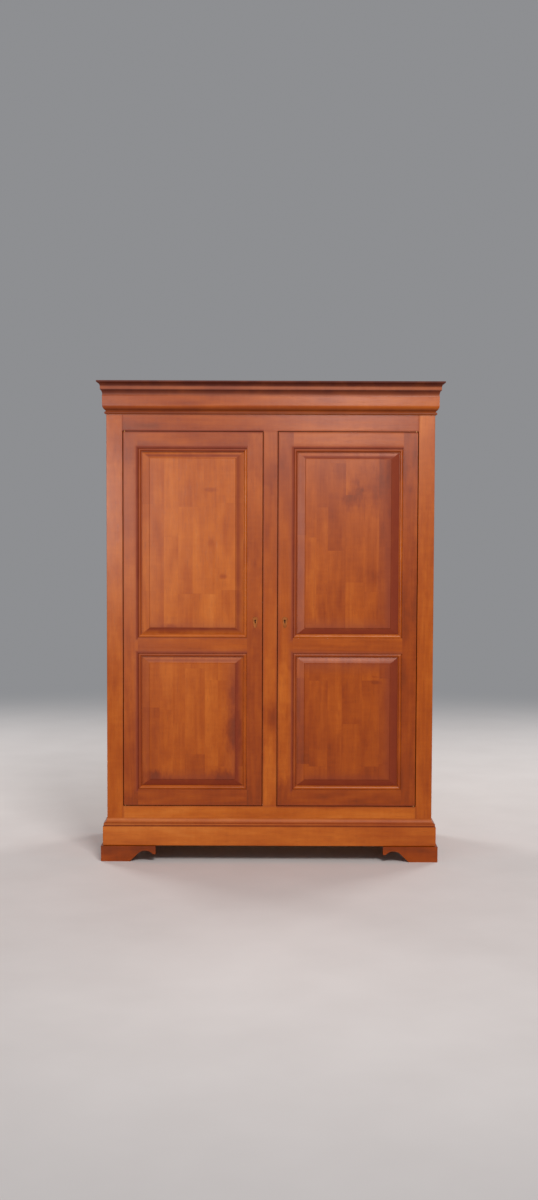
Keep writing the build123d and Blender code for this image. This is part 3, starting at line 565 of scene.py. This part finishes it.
# Each piece's tone at its two ends, then its strength of thick moulding glaze, which carries painted
# shade, and of thin moulding glaze
door_frame_pieces = (
    ("left_door_hinge_stile", (0.42, 0.50), (1.0, 0.0)),
    ("left_door_lock_stile", (0.21, 0.47), (0.0, 0.1)),
    ("left_door_top_rail", (0.30, 0.30), (1.0, 0.0)),
    ("left_door_middle_rail", (0.47, 0.47), (0.8, 0.8)),
    ("left_door_bottom_rail", (0.32, 0.32), (0.0, 0.4)),
    ("right_door_hinge_stile", (0.20, 0.33), (0.0, 0.1)),
    ("right_door_lock_stile", (0.51, 0.35), (0.9, 0.0)),
    ("right_door_top_rail", (0.49, 0.49), (1.0, 0.0)),
    ("right_door_middle_rail", (0.41, 0.45), (0.5, 0.1)),
    ("right_door_bottom_rail", (0.34, 0.34), (0.0, 0.3)),
)
# Painted shade beside the gaps, on the lock edge, the hinge edge, the foot and the top of each door
door_edge_shade = {"left": (0.10, 0.30, 0.60, 1.00), "right": (0.55, 0.00, 0.80, 0.50)}
stile_clouds = {
    "left_door_hinge_stile": (
        (-0.585, 1.84, 0.30, 0.32, 0.17),
        (-0.585, 0.72, 0.30, 0.44, -0.08),
        (-0.585, 0.24, 0.30, 0.18, 0.16),
    ),
    "left_door_lock_stile": (
        (-0.085, 1.79, 0.30, 0.28, 0.11),
        (-0.085, 1.19, 0.30, 0.50, -0.11),
    ),
    "right_door_hinge_stile": (
        (0.585, 1.79, 0.30, 0.40, 0.14),
        (0.585, 1.34, 0.30, 0.50, -0.08),
    ),
    "right_door_lock_stile": (
        (0.085, 0.76, 0.30, 0.28, -0.17),
        (0.085, 0.26, 0.30, 0.30, 0.26),
    ),
}
for seed, (name, tones, mouldings) in enumerate(door_frame_pieces, 20):
    along = "z" if "stile" in name else "x"
    edges = door_edge_shade[name.split("_")[0]]
    marks = [tone_cloud(*cloud) for cloud in stile_clouds.get(name, ())]
    if mouldings[1]:
        marks.append(painted_bead_highlight)
    timber([name], along, tones, seed, marks=marks, glaze=door_frame_glaze_and_shade(mouldings, edges))

# Door panels: solid cherry fields of glued strips with a bevel all round, loose in the frames' grooves.
# Each strip has its own tone and is pieced along its length. Glaze lies in the bevel's foot and along
# the step up to the field. The right-hand and lower bevels, which face away from the light, are darkened
# further with painted shade, and some panels' left bevels are darkened all over with painted shade.
block_length = 0.38
block_step = 0.045
block_stagger = 9
block_shift = (7, 7, 7)
seam_width = 0.0011
seam_step = -0.04
least_step = 0.001
middle_grey = 0.5
side_bevel = 0.032
end_bevel = 0.025
bevels_reach = 3.2
panel_back_skin = 0.002
same_inset = 0.0001
left_bevel_glaze = (
    (0.00, 0.30),
    (0.10, 0.05),
    (0.85, 0.00),
    (1.00, 0.15),
    (1.15, 0.00),
)
narrow_line_glaze = (
    (0.00, 0.40),
    (0.15, 0.10),
    (0.28, 0.20),
    (0.45, 0.80),
    (0.62, 1.00),
    (0.76, 0.85),
    (0.90, 0.35),
    (1.10, 0.00),
)
wide_line_glaze = (
    (0.00, 0.50),
    (0.15, 0.10),
    (0.45, 0.05),
    (0.65, 0.65),
    (0.80, 1.00),
    (0.95, 0.95),
    (1.08, 0.35),
    (1.25, 0.00),
)
step_glaze_and_shade = (
    (0.00, 0.30),
    (0.40, 0.70),
    (0.65, 1.00),
    (0.85, 0.95),
    (1.00, 0.60),
    (1.12, 0.15),
    (1.30, 0.00),
)
smudged_step_glaze_and_shade = (
    (0.00, 0.20),
    (0.45, 0.55),
    (0.80, 0.95),
    (0.97, 1.00),
    (1.10, 0.50),
    (1.40, 0.30),
    (2.00, 0.12),
    (3.20, 0.00),
)
soft_step_glaze = (
    (0.00, 0.25),
    (0.20, 0.00),
    (0.50, 0.00),
    (0.75, 0.50),
    (1.00, 0.80),
    (1.20, 1.00),
    (1.60, 0.65),
    (2.20, 0.35),
    (3.20, 0.00),
)
whole_bevel_glaze_and_shade = (
    (0.00, 0.97),
    (0.25, 1.00),
    (0.60, 0.97),
    (0.95, 0.88),
    (1.12, 0.62),
    (1.45, 0.42),
    (2.00, 0.20),
    (3.20, 0.00),
)


def glued_strips(widths_and_tones, left):
    """Strips from a panel's left edge to its right, as widths in metres and steps of tone."""
    total = sum(width for width, step in widths_and_tones)
    stops = []
    edge = 0.0
    for width, step in widths_and_tones:
        grey = middle_grey + step
        stops.append((edge / total, (grey, grey, grey, 1)))
        edge += width

    def lay(tree, place, grain, tone):
        axes = axes_of(tree, place)
        here = between(tree, axes[0], left, left + total)
        beside = sums(tree, "ADD", here, seam_width / total)
        strip = ramp(tree, here, stops, "CONSTANT")
        next_strip = ramp(tree, beside, stops, "CONSTANT")
        chance = wire(tree, "ShaderNodeTexWhiteNoise", {"W": strip}, noise_dimensions="1D")
        stagger = sums(tree, "MULTIPLY", chance.outputs["Value"], block_stagger)
        blocks = sums(tree, "MULTIPLY_ADD", axes[2], 1 / block_length, stagger)
        key = wire(tree, "ShaderNodeCombineXYZ", {0: strip, 1: sums(tree, "FLOOR", blocks)}).outputs[0]
        block = wire(tree, "ShaderNodeTexWhiteNoise", {"Vector": key}, noise_dimensions="2D").outputs
        moved = {0: block["Color"], 1: block_shift, 2: grain}
        own_grain = wire(tree, "ShaderNodeVectorMath", moved, operation="MULTIPLY_ADD").outputs[0]
        level = sums(tree, "ADD", tone, sums(tree, "SUBTRACT", strip, middle_grey))
        own_tone = sums(tree, "SUBTRACT", block["Value"], 0.5)
        level = sums(tree, "MULTIPLY_ADD", own_tone, block_step, level)
        change = sums(tree, "ABSOLUTE", sums(tree, "SUBTRACT", strip, next_strip))
        side_seam = sums(tree, "GREATER_THAN", change, least_step)
        end_seam = sums(tree, "LESS_THAN", sums(tree, "FRACT", blocks), seam_width / block_length)
        seam = sums(tree, "MAXIMUM", side_seam, end_seam)
        return own_grain, sums(tree, "MULTIPLY_ADD", seam, seam_step, level)

    return lay


def panel_glaze_and_shade(low, high, left_bevel_shade, top, right, foot):
    """Glaze and painted shade of a panel between two corners, by how many bevels a place is in from each
    side.

    Painted shade of one strength lies all over the left bevel; the top, right and foot each have a
    profile and a strength.
    """
    sides = (
        (0, low.x + tongue, side_bevel, left_bevel_glaze, 1.0),
        (2, high.z - tongue, -end_bevel, *top),
        (0, high.x - tongue, -side_bevel, *right),
        (2, low.z + tongue, end_bevel, *foot),
    )

    def lay(tree, place):
        axes = axes_of(tree, place)
        insets = []
        for axis, sight, bevel, profile, much in sides:
            insets.append(sums(tree, "DIVIDE", sums(tree, "SUBTRACT", axes[axis], sight), bevel))
        nearest = sums(tree, "MINIMUM", insets[0], insets[1])
        for inset in insets[2:]:
            nearest = sums(tree, "MINIMUM", nearest, inset)
        on_field = sums(tree, "GREATER_THAN", nearest, 1.0)
        on_left = sums(tree, "COMPARE", insets[0], nearest, same_inset)
        strength = sums(tree, "MULTIPLY", sums(tree, "SUBTRACT", on_left, on_field), left_bevel_shade)
        for inset, (axis, sight, bevel, profile, much) in zip(insets, sides):
            own_bevel = sums(tree, "COMPARE", inset, nearest, same_inset)
            shown = sums(tree, "MAXIMUM", own_bevel, on_field)
            band = glaze_and_shade_bands(tree, inset, profile, 0.0, bevels_reach)
            band = sums(tree, "MULTIPLY", band, much)
            strength = sums(tree, "MAXIMUM", strength, sums(tree, "MULTIPLY", shown, band))
        return front_only(tree, axes, high.y - panel_back_skin, strength)

    return lay


# Each panel's tone at its foot and top, its painted shade on the left bevel, its glaze and painted shade
# on the top, right and foot, its strips and the clouds in it
door_panels = {
    "left_door_upper_panel": {
        "tones": (0.62, 0.57),
        "left_bevel_shade": 0.00,
        "top": (narrow_line_glaze, 0.85),
        "right": (step_glaze_and_shade, 0.80),
        "foot": (smudged_step_glaze_and_shade, 0.95),
        "strips": (
            (0.103, -0.03),
            (0.063, 0.04),
            (0.063, -0.01),
            (0.050, 0.02),
            (0.054, -0.01),
            (0.126, 0.03),
        ),
        "clouds": (
            (-0.203, 1.254, 0.05, 0.03, 0.24),
            (-0.259, 1.631, 0.08, 0.025, 0.18),
            (-0.259, 1.403, 0.04, 0.06, 0.17),
            (-0.440, 1.020, 0.11, 0.06, 0.24),
        ),
    },
    "left_door_lower_panel": {
        "tones": (0.50, 0.56),
        "left_bevel_shade": 0.28,
        "top": (narrow_line_glaze, 0.55),
        "right": (smudged_step_glaze_and_shade, 1.00),
        "foot": (whole_bevel_glaze_and_shade, 1.00),
        "strips": (
            (0.083, -0.04),
            (0.059, 0.04),
            (0.055, -0.02),
            (0.085, 0.01),
            (0.059, 0.02),
            (0.118, -0.01),
        ),
        "clouds": (
            (-0.162, 0.575, 0.09, 0.22, 0.34),
            (-0.160, 0.735, 0.07, 0.16, 0.24),
            (-0.200, 0.362, 0.16, 0.10, 0.34),
            (-0.500, 0.362, 0.14, 0.09, 0.28),
            (-0.455, 0.470, 0.06, 0.10, 0.10),
        ),
    },
    "right_door_upper_panel": {
        "tones": (0.45, 0.47),
        "left_bevel_shade": 0.30,
        "top": (wide_line_glaze, 1.00),
        "right": (whole_bevel_glaze_and_shade, 1.00),
        "foot": (whole_bevel_glaze_and_shade, 1.00),
        "strips": (
            (0.045, -0.04),
            (0.046, 0.04),
            (0.050, -0.01),
            (0.077, -0.02),
            (0.085, 0.01),
            (0.060, -0.03),
            (0.096, -0.08),
        ),
        "clouds": (
            (0.365, 1.608, 0.10, 0.15, 0.17, 35),
            (0.470, 1.660, 0.24, 0.30, 0.15),
            (0.194, 1.180, 0.07, 0.36, -0.07),
            (0.231, 1.095, 0.045, 0.14, 0.12),
            (0.450, 1.250, 0.12, 0.10, 0.08),
        ),
    },
    "right_door_lower_panel": {
        "tones": (0.36, 0.40),
        "left_bevel_shade": 0.10,
        "top": (soft_step_glaze, 0.50),
        "right": (whole_bevel_glaze_and_shade, 0.97),
        "foot": (whole_bevel_glaze_and_shade, 0.97),
        "strips": (
            (0.062, -0.03),
            (0.081, 0.02),
            (0.062, 0.04),
            (0.088, -0.02),
            (0.077, 0.02),
            (0.089, -0.03),
        ),
        "clouds": (
            (0.462, 0.792, 0.08, 0.02, 0.14, 4),
            (0.466, 0.815, 0.06, 0.012, 0.12, 6),
            (0.380, 0.560, 0.10, 0.18, 0.06),
        ),
    },
}
for seed, (name, look) in enumerate(door_panels.items(), 40):
    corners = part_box(name)
    strips = glued_strips(look["strips"], corners[0].x)
    clouds = [tone_cloud(*cloud) for cloud in look["clouds"]]
    glaze = panel_glaze_and_shade(*corners, look["left_bevel_shade"], look["top"], look["right"], look["foot"])
    timber([name], "z", look["tones"], seed, strips=strips, marks=clouds, glaze=glaze)

# Plinth: a moulded cherry board round the foot of the body, mitred at the front corners and pinned to
# it. Glaze with painted shade darkens the quirk over its band and the top of its cove.
plinth_roughness = 0.42
plinth_dark_z = (0.140, 0.190)


def plinth_glaze_and_shade(tree, place):
    """Glaze and painted shade by height: dark in the quirk over the band and at the top of the cove."""
    profile = (
        (0.1510, 0.00),
        (0.1545, 0.70),
        (0.1585, 0.97),
        (0.1605, 0.40),
        (0.1640, 0.20),
        (0.1665, 0.80),
        (0.1700, 0.55),
        (0.1780, 0.12),
        (0.1890, 0.15),
    )
    return glaze_and_shade_bands(tree, axes_of(tree, place)[2], profile, *plinth_dark_z)


plinth_finish = {"gloss": plinth_roughness, "glaze": plinth_glaze_and_shade}
timber(["plinth_front"], "x", tones=(0.72, 0.53), seed=60, **plinth_finish)
timber(["plinth_left", "plinth_right"], "y", tones=(0.55, 0.55), seed=61, **plinth_finish)

# Bracket feet: cherry boards sawn to a scroll, mitred at the corners and glued to blocks behind. They
# are given a darker tone than the rest.
timber(["foot_front_left", "foot_front_right"], "x", tones=(0.27, 0.27), seed=62)
timber(["rear_feet"], "y", tones=(0.30, 0.30), seed=63)

# Cornice: a cherry moulding run in one length and mitred at the corners, with the top panel screwed
# down to its ledge. Its hollows and the underside of its crown are darkened with painted shade, and its
# fillets are left light.
cornice_shade_tint = (0.075, 0.0080, 0.0008, 1)
cornice_shade_z = (1.950, 2.100)


def cornice_shade(tree, place):
    """Painted shade by height: dark in the hollows and under the crown, little on the fillets."""
    profile = (
        (1.9570, 0.35),
        (1.9640, 0.65),
        (1.9680, 0.40),
        (1.9720, 0.42),
        (1.9770, 0.65),
        (1.9830, 0.40),
        (1.9910, 0.05),
        (1.9980, 0.00),
        (2.0320, 0.00),
        (2.0390, 0.40),
        (2.0480, 0.80),
        (2.0580, 0.92),
        (2.0620, 0.92),
        (2.0640, 0.45),
        (2.0700, 0.30),
        (2.0740, 0.40),
        (2.0800, 0.92),
        (2.0850, 0.97),
        (2.1000, 0.95),
    )
    return glaze_and_shade_bands(tree, axes_of(tree, place)[2], profile, *cornice_shade_z)


shaded_hollows = {"glaze": cornice_shade, "glaze_and_shade_tint": cornice_shade_tint}
timber(["cornice_front"], "x", tones=(0.33, 0.57), seed=64, **shaded_hollows)
timber(["cornice_left", "cornice_right"], "y", tones=(0.50, 0.50), seed=65, **shaded_hollows)

# Hanging rail and its sockets: drawn brass tube held in two flanged cups, which are screwed to the
# cleats under the right-hand shelf. Polished, and gone a little dull.
dull_cycles = (70, 70, 70)
worn_place, bright_place = 0.32, 0.66
bright_polish = 0.10
scratch_cycles = (60, 1800, 1800)
scratch_roughness = 0.16
scratch_relief = 0.15
scratch_depth = 0.00005


def metal(names, worn, bright, roughness):
    """Finish CAD nodes as bare metal, dulled in patches and marked by the tools along X."""
    material = bpy.data.materials.new(f"{names[0]}_metal")
    material.use_nodes = True
    tree = material.node_tree
    shader = tree.nodes["Principled BSDF"]
    place = wire(tree, "ShaderNodeTexCoord").outputs["Object"]
    dulled = drawn_out_noise(tree, place, dull_cycles, detail=3, roughness=0.6).outputs[0]
    scratches = drawn_out_noise(tree, place, scratch_cycles, detail=2).outputs[0]
    colour = ramp(tree, dulled, ((worn_place, worn), (bright_place, bright)))
    tree.links.new(colour, shader.inputs["Base Color"])
    shader.inputs["Metallic"].default_value = 1.0
    smoothest = roughness - (scratch_roughness - bright_polish) / 2
    scratched = sums(tree, "MULTIPLY_ADD", scratches, scratch_roughness, smoothest)
    uneven = sums(tree, "MULTIPLY_ADD", dulled, -bright_polish, scratched)
    tree.links.new(uneven, shader.inputs["Roughness"])
    raised = {"Height": scratches, "Strength": scratch_relief, "Distance": scratch_depth}
    bump = wire(tree, "ShaderNodeBump", raised)
    tree.links.new(bump.outputs[0], shader.inputs["Normal"])
    for name in names:
        nodes[name].material_slots[0].material = material
    return material


metal(
    ["hanging_rail", "rail_sockets"],
    worn=(0.46, 0.28, 0.08, 1),
    bright=(0.70, 0.48, 0.18, 1),
    roughness=0.25,
)

# Pivots, their sockets and the lock bolts: plain drawn brass. The pivots are pins on plates let into
# the ends of the doors, turning in cups let into the rails; the bolts slide in the lock cases.
drawn_brass = metal(
    ["left_door_pivots", "right_door_pivots", "pivot_sockets", "left_lock_bolt", "right_lock_bolt"],
    worn=(0.36, 0.21, 0.06, 1),
    bright=(0.58, 0.38, 0.13, 1),
    roughness=0.36,
)

# Locks: folded steel cases, blackened, let into the back of each lock stile, with a plate round the
# stile's edge that the bolt comes through, held by six screws each. The cases are coloured dark enough
# to stand as painted shade in the keyholes.
metal(
    ["left_lock_case", "right_lock_case"],
    worn=(0.035, 0.032, 0.030, 1),
    bright=(0.100, 0.095, 0.090, 1),
    roughness=0.46,
)

# Keyhole plates: drops of brass, aged to a tan close to the timber's, let into the stiles round the
# keyholes and pressed home.
metal(
    ["left_escutcheon", "right_escutcheon"],
    worn=(0.20, 0.058, 0.015, 1),
    bright=(0.32, 0.105, 0.030, 1),
    roughness=0.50,
)

# Screws: slotted countersunk brass screws with heads just proud, each left with its slot turned where
# it came tight. They hold the lock cases, the pivot plates and sockets, the shelf cleats, the cups of
# the hanging rail and the top panel.
head_radius = 0.0032
head_height = 0.0016
head_proud = 0.0003
head_taper = 0.8
head_sides = 24
slot_width = 0.0008
slot_depth = 0.0007
slot_overrun = 3
slot_seed = 4
full_head = 1.0
small_head = 0.7


def screw_heads():
    """Tree that sets a slotted head on each point, square to the point's facing and of its size."""
    tree = bpy.data.node_groups.new("screw_heads", "GeometryNodeTree")
    for name, kind, way in (
        ("Points", "NodeSocketGeometry", "INPUT"),
        ("Head Radius", "NodeSocketFloat", "INPUT"),
        ("Head Height", "NodeSocketFloat", "INPUT"),
        ("Head Proud", "NodeSocketFloat", "INPUT"),
        ("Slot Width", "NodeSocketFloat", "INPUT"),
        ("Slot Depth", "NodeSocketFloat", "INPUT"),
        ("Metal", "NodeSocketMaterial", "INPUT"),
        ("Screws", "NodeSocketGeometry", "OUTPUT"),
    ):
        tree.interface.new_socket(name, in_out=way, socket_type=kind)
    given = wire(tree, "NodeGroupInput").outputs
    taper = sums(tree, "MULTIPLY", given["Head Radius"], head_taper)
    head_inputs = {
        "Vertices": head_sides,
        "Radius Top": given["Head Radius"],
        "Radius Bottom": taper,
        "Depth": given["Head Height"],
    }
    head = wire(tree, "GeometryNodeMeshCone", head_inputs, fill_type="NGON").outputs["Mesh"]
    # The cutter of the slot is centred on the head's top, so it is twice as high as the slot is deep
    slot_length = sums(tree, "MULTIPLY", given["Head Radius"], slot_overrun)
    slot_height = sums(tree, "MULTIPLY", given["Slot Depth"], 2)
    slot_sides = {0: slot_length, 1: given["Slot Width"], 2: slot_height}
    slot_size = wire(tree, "ShaderNodeCombineXYZ", slot_sides)
    slot = wire(tree, "GeometryNodeMeshCube", {"Size": slot_size.outputs[0]}).outputs["Mesh"]
    at_top = wire(tree, "ShaderNodeCombineXYZ", {2: given["Head Height"]}).outputs[0]
    raised_slot = wire(tree, "GeometryNodeTransform", {"Geometry": slot, "Translation": at_top})
    cut = wire(tree, "GeometryNodeMeshBoolean", {"Mesh 1": head, "Mesh 2": raised_slot.outputs[0]})
    sunk = sums(tree, "SUBTRACT", given["Head Proud"], given["Head Height"])
    below = wire(tree, "ShaderNodeCombineXYZ", {2: sunk}).outputs[0]
    seated = wire(tree, "GeometryNodeTransform", {"Geometry": cut.outputs["Mesh"], "Translation": below})
    facing = wire(tree, "GeometryNodeInputNamedAttribute", {"Name": "facing"}, data_type="FLOAT_VECTOR")
    size = wire(tree, "GeometryNodeInputNamedAttribute", {"Name": "size"}, data_type="FLOAT")
    outward = {"Vector": facing.outputs["Attribute"]}
    upright = wire(tree, "FunctionNodeAlignRotationToVector", outward, axis="Z")
    any_turn = {2: 0.0, 3: math.pi, "Seed": slot_seed}
    turn = wire(tree, "FunctionNodeRandomValue", any_turn, data_type="FLOAT").outputs[1]
    twist = wire(tree, "FunctionNodeAxisAngleToRotation", {"Axis": (0, 0, 1), "Angle": turn}).outputs[0]
    turned = wire(
        tree,
        "FunctionNodeRotateRotation",
        {"Rotation": upright.outputs[0], "Rotate By": twist},
        rotation_space="LOCAL",
    )
    placing = {
        "Points": given["Points"],
        "Instance": seated.outputs[0],
        "Rotation": turned.outputs[0],
        "Scale": size.outputs["Attribute"],
    }
    placed = wire(tree, "GeometryNodeInstanceOnPoints", placing).outputs[0]
    real = wire(tree, "GeometryNodeRealizeInstances", {"Geometry": placed}).outputs[0]
    finished = wire(tree, "GeometryNodeSetMaterial", {"Geometry": real, "Material": given["Metal"]})
    out = wire(tree, "NodeGroupOutput")
    tree.links.new(finished.outputs[0], out.inputs["Screws"])
    return tree


slotted_screws = screw_heads()


def set_screws(body, places):
    """Make one body's screws from (place, facing, size), and hang them on it."""
    points = bpy.data.meshes.new(f"{body}_screw_points")
    points.from_pydata([place for place, facing, size in places], [], [])
    points.attributes.new("facing", "FLOAT_VECTOR", "POINT")
    points.attributes.new("size", "FLOAT", "POINT")
    for index, (place, facing, size) in enumerate(places):
        points.attributes["facing"].data[index].vector = facing
        points.attributes["size"].data[index].value = size
    pattern = bpy.data.objects.new(f"{body}_screw_points", points)
    bpy.context.scene.collection.objects.link(pattern)
    maker = pattern.modifiers.new("screws", "NODES")
    maker.node_group = slotted_screws
    values = {
        "Head Radius": head_radius,
        "Head Height": head_height,
        "Head Proud": head_proud,
        "Slot Width": slot_width,
        "Slot Depth": slot_depth,
        "Metal": drawn_brass,
    }
    for item in slotted_screws.interface.items_tree:
        if item.name in values:
            maker[item.identifier] = values[item.name]
    evaluated = pattern.evaluated_get(bpy.context.evaluated_depsgraph_get())
    mesh = bpy.data.meshes.new_from_object(evaluated)
    mesh.name = f"{body}_screws"
    bpy.data.objects.remove(pattern)
    screws = bpy.data.objects.new(f"{body}_screws", mesh)
    bpy.context.scene.collection.objects.link(screws)
    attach(screws, body)


plate_low, plate_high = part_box("right_lock_case")
pivot_low, pivot_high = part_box("right_door_pivots")
pivot_y = (pivot_low.y + pivot_high.y) / 2
pivot_screw_x = [pivot_low.x + step for step in (0.006, 0.020)]
case_screw_x = (plate_low.x + 0.016, plate_high.x - 0.012)
case_screw_inset = 0.010
case_screw_z = (plate_low.z + case_screw_inset, plate_high.z - case_screw_inset)
edge_plate_y = -0.2505
edge_screw_inset = 0.006
edge_screw_z = (plate_low.z + edge_screw_inset, plate_high.z - edge_screw_inset)
carcass_screws = []
for side, body in ((-1, "left_door"), (1, "right_door")):
    door_screws = []
    for x in case_screw_x:
        for z in case_screw_z:
            door_screws.append(((side * x, plate_high.y, z), (0, 1, 0), full_head))
    for z in edge_screw_z:
        door_screws.append(((side * lock_edge, edge_plate_y, z), (-side, 0, 0), full_head))
    for x in pivot_screw_x:
        for z, up in ((door_low.z, -1), (door_high.z, 1)):
            door_screws.append(((side * x, pivot_y, z), (0, 0, up), small_head))
            socket_z = z + up * door_gap
            carcass_screws.append(((side * x, pivot_y, socket_z), (0, 0, -up), small_head))
    set_screws(body, door_screws)

shelf_tops = (0.610, 0.970, 1.330, 1.690)
below_shelf = 0.035
cleat_faces = (0.030, 0.624)
cleat_screw_y = (-0.15, 0.03, 0.21)
for side, tops in ((-1, shelf_tops), (1, shelf_tops[-1:])):
    for top in tops:
        for y in cleat_screw_y:
            for x, outward in zip(cleat_faces, (side, -side)):
                carcass_screws.append(((side * x, y, top - below_shelf), (outward, 0, 0), full_head))

cups_low, cups_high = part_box("rail_sockets")
cup_centre = (cups_low + cups_high) / 2
flange_thickness = 0.003
flange_screw_radius = 0.019
flange_screw_angles = [math.radians(angle) for angle in (90, 210, 330)]
for x, outward in ((cups_low.x + flange_thickness, 1), (cups_high.x - flange_thickness, -1)):
    for angle in flange_screw_angles:
        y = cup_centre.y + flange_screw_radius * math.cos(angle)
        z = cup_centre.z + flange_screw_radius * math.sin(angle)
        carcass_screws.append(((x, y, z), (outward, 0, 0), small_head))

top_low, top_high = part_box("top_panel")
from_top_edge = 0.008
top_screw_x = (-0.60, -0.30, 0.0, 0.30, 0.60)
top_screw_y = (-0.10, 0.10)
for x in top_screw_x:
    for y in (top_low.y + from_top_edge, top_high.y - from_top_edge):
        carcass_screws.append(((x, y, top_high.z), (0, 0, 1), full_head))
for y in top_screw_y:
    for x in (top_low.x + from_top_edge, top_high.x - from_top_edge):
        carcass_screws.append(((x, y, top_high.z), (0, 0, 1), full_head))
set_screws("carcass", carcass_screws)

# Floor: a plain pale sheet that the armoire stands on, fading into the grey of the studio round it, so
# that no edge of it shows from any side.
backdrop_colour = (0.270, 0.274, 0.286, 1)
floor_colours = ((0.3, (0.78, 0.72, 0.69, 1)), (0.7, (0.82, 0.76, 0.73, 1)))
floor_cycles = (3, 3, 3)
floor_roughness = 0.8
floor_specular = 0.2
floor_radius = 30
floor_sides = 64
fade_limits = (1.6, 6.5)
floor_mesh = bpy.data.meshes.new("studio_floor")
floor = bpy.data.objects.new("studio_floor", floor_mesh)
bpy.context.scene.collection.objects.link(floor)
shape = bmesh.new()
bmesh.ops.create_circle(shape, cap_ends=True, segments=floor_sides, radius=floor_radius)
shape.to_mesh(floor_mesh)
shape.free()
floor_paint = bpy.data.materials.new("floor_paint")
floor_paint.use_nodes = True
tree = floor_paint.node_tree
matt = tree.nodes["Principled BSDF"]
matt.inputs["Roughness"].default_value = floor_roughness
matt.inputs["Specular IOR Level"].default_value = floor_specular
place = wire(tree, "ShaderNodeTexCoord").outputs["Object"]
speckle = drawn_out_noise(tree, place, floor_cycles, detail=3).outputs[0]
tree.links.new(ramp(tree, speckle, floor_colours), matt.inputs["Base Color"])
glow = wire(tree, "ShaderNodeEmission", {"Color": backdrop_colour})
far = wire(tree, "ShaderNodeVectorMath", {0: place}, operation="LENGTH").outputs["Value"]
fade = between(tree, far, *fade_limits, smooth=True)
blend = wire(tree, "ShaderNodeMixShader", {0: fade, 1: matt.outputs[0], 2: glow.outputs[0]})
tree.links.new(blend.outputs[0], tree.nodes["Material Output"].inputs[0])
floor_mesh.materials.append(floor_paint)

# Light: an even grey room with softboxes. Two in front leave out the floor: one on the left for the
# sheen on the left door, and a small one for the cornice and top rails. A large one shines from above
# the camera, and two stand behind for the back and sides.
world = bpy.data.worlds.new("studio")
bpy.context.scene.world = world
world.use_nodes = True
world.node_tree.nodes["Background"].inputs["Color"].default_value = backdrop_colour


def softbox(name, place, aim, width, height, power):
    """Area lamp that shines from a place to an aim and isn't seen itself."""
    light = bpy.data.lights.new(name, "AREA")
    light.shape = "RECTANGLE"
    light.size = width
    light.size_y = height
    light.energy = power
    lamp = bpy.data.objects.new(name, light)
    lamp.location = place
    lamp.rotation_euler = (Vector(aim) - Vector(place)).to_track_quat("-Z", "Y").to_euler()
    lamp.visible_camera = False
    bpy.context.scene.collection.objects.link(lamp)
    return lamp


front_aim = (0, -0.27, 1.1)
left_softbox = softbox("left_softbox", (-2.1, -6.2, 1.7), front_aim, width=0.7, height=1.0, power=108)
top_softbox = softbox(
    "top_softbox",
    (0.72, -6.35, 2.76),
    (0.4, -0.27, 1.95),
    width=0.6,
    height=0.4,
    power=78,
)
softbox("high_softbox", (1.2, -4.6, 5.6), (0, -0.27, 1.3), width=1.6, height=2.4, power=198)
rear_aim = (0, 0.3, 1.1)
softbox("rear_left_softbox", (-4.5, 4.5, 2.6), rear_aim, width=2.4, height=2.4, power=160)
softbox("rear_right_softbox", (4.5, 4.5, 2.6), rear_aim, width=2.4, height=2.4, power=160)
kept_off = bpy.data.collections.new("kept_off_the_floor")
kept_off.objects.link(floor)
kept_off.collection_objects[0].light_linking.link_state = "EXCLUDE"
for lamp in (left_softbox, top_softbox):
    lamp.light_linking.receiver_collection = kept_off

# Camera: at eye level six metres in front of the doors, tilted a little down and not quite level, to
# match the photograph's view.
lens_data = bpy.data.cameras.new("camera")
lens_data.lens = 43.31
lens_data.sensor_width = 36
tilt = math.radians(3.2)
roll = math.radians(-0.2)
turned_down = Matrix.Rotation(math.pi / 2 - tilt, 4, "X")
camera = bpy.data.objects.new("camera", lens_data)
camera.location = (-0.0049, -6.57, 1.5039)
camera.rotation_euler = (turned_down @ Matrix.Rotation(-roll, 4, "Z")).to_euler()
bpy.context.scene.collection.objects.link(camera)
bpy.context.scene.camera = camera
bpy.context.scene.view_settings.view_transform = "Standard"
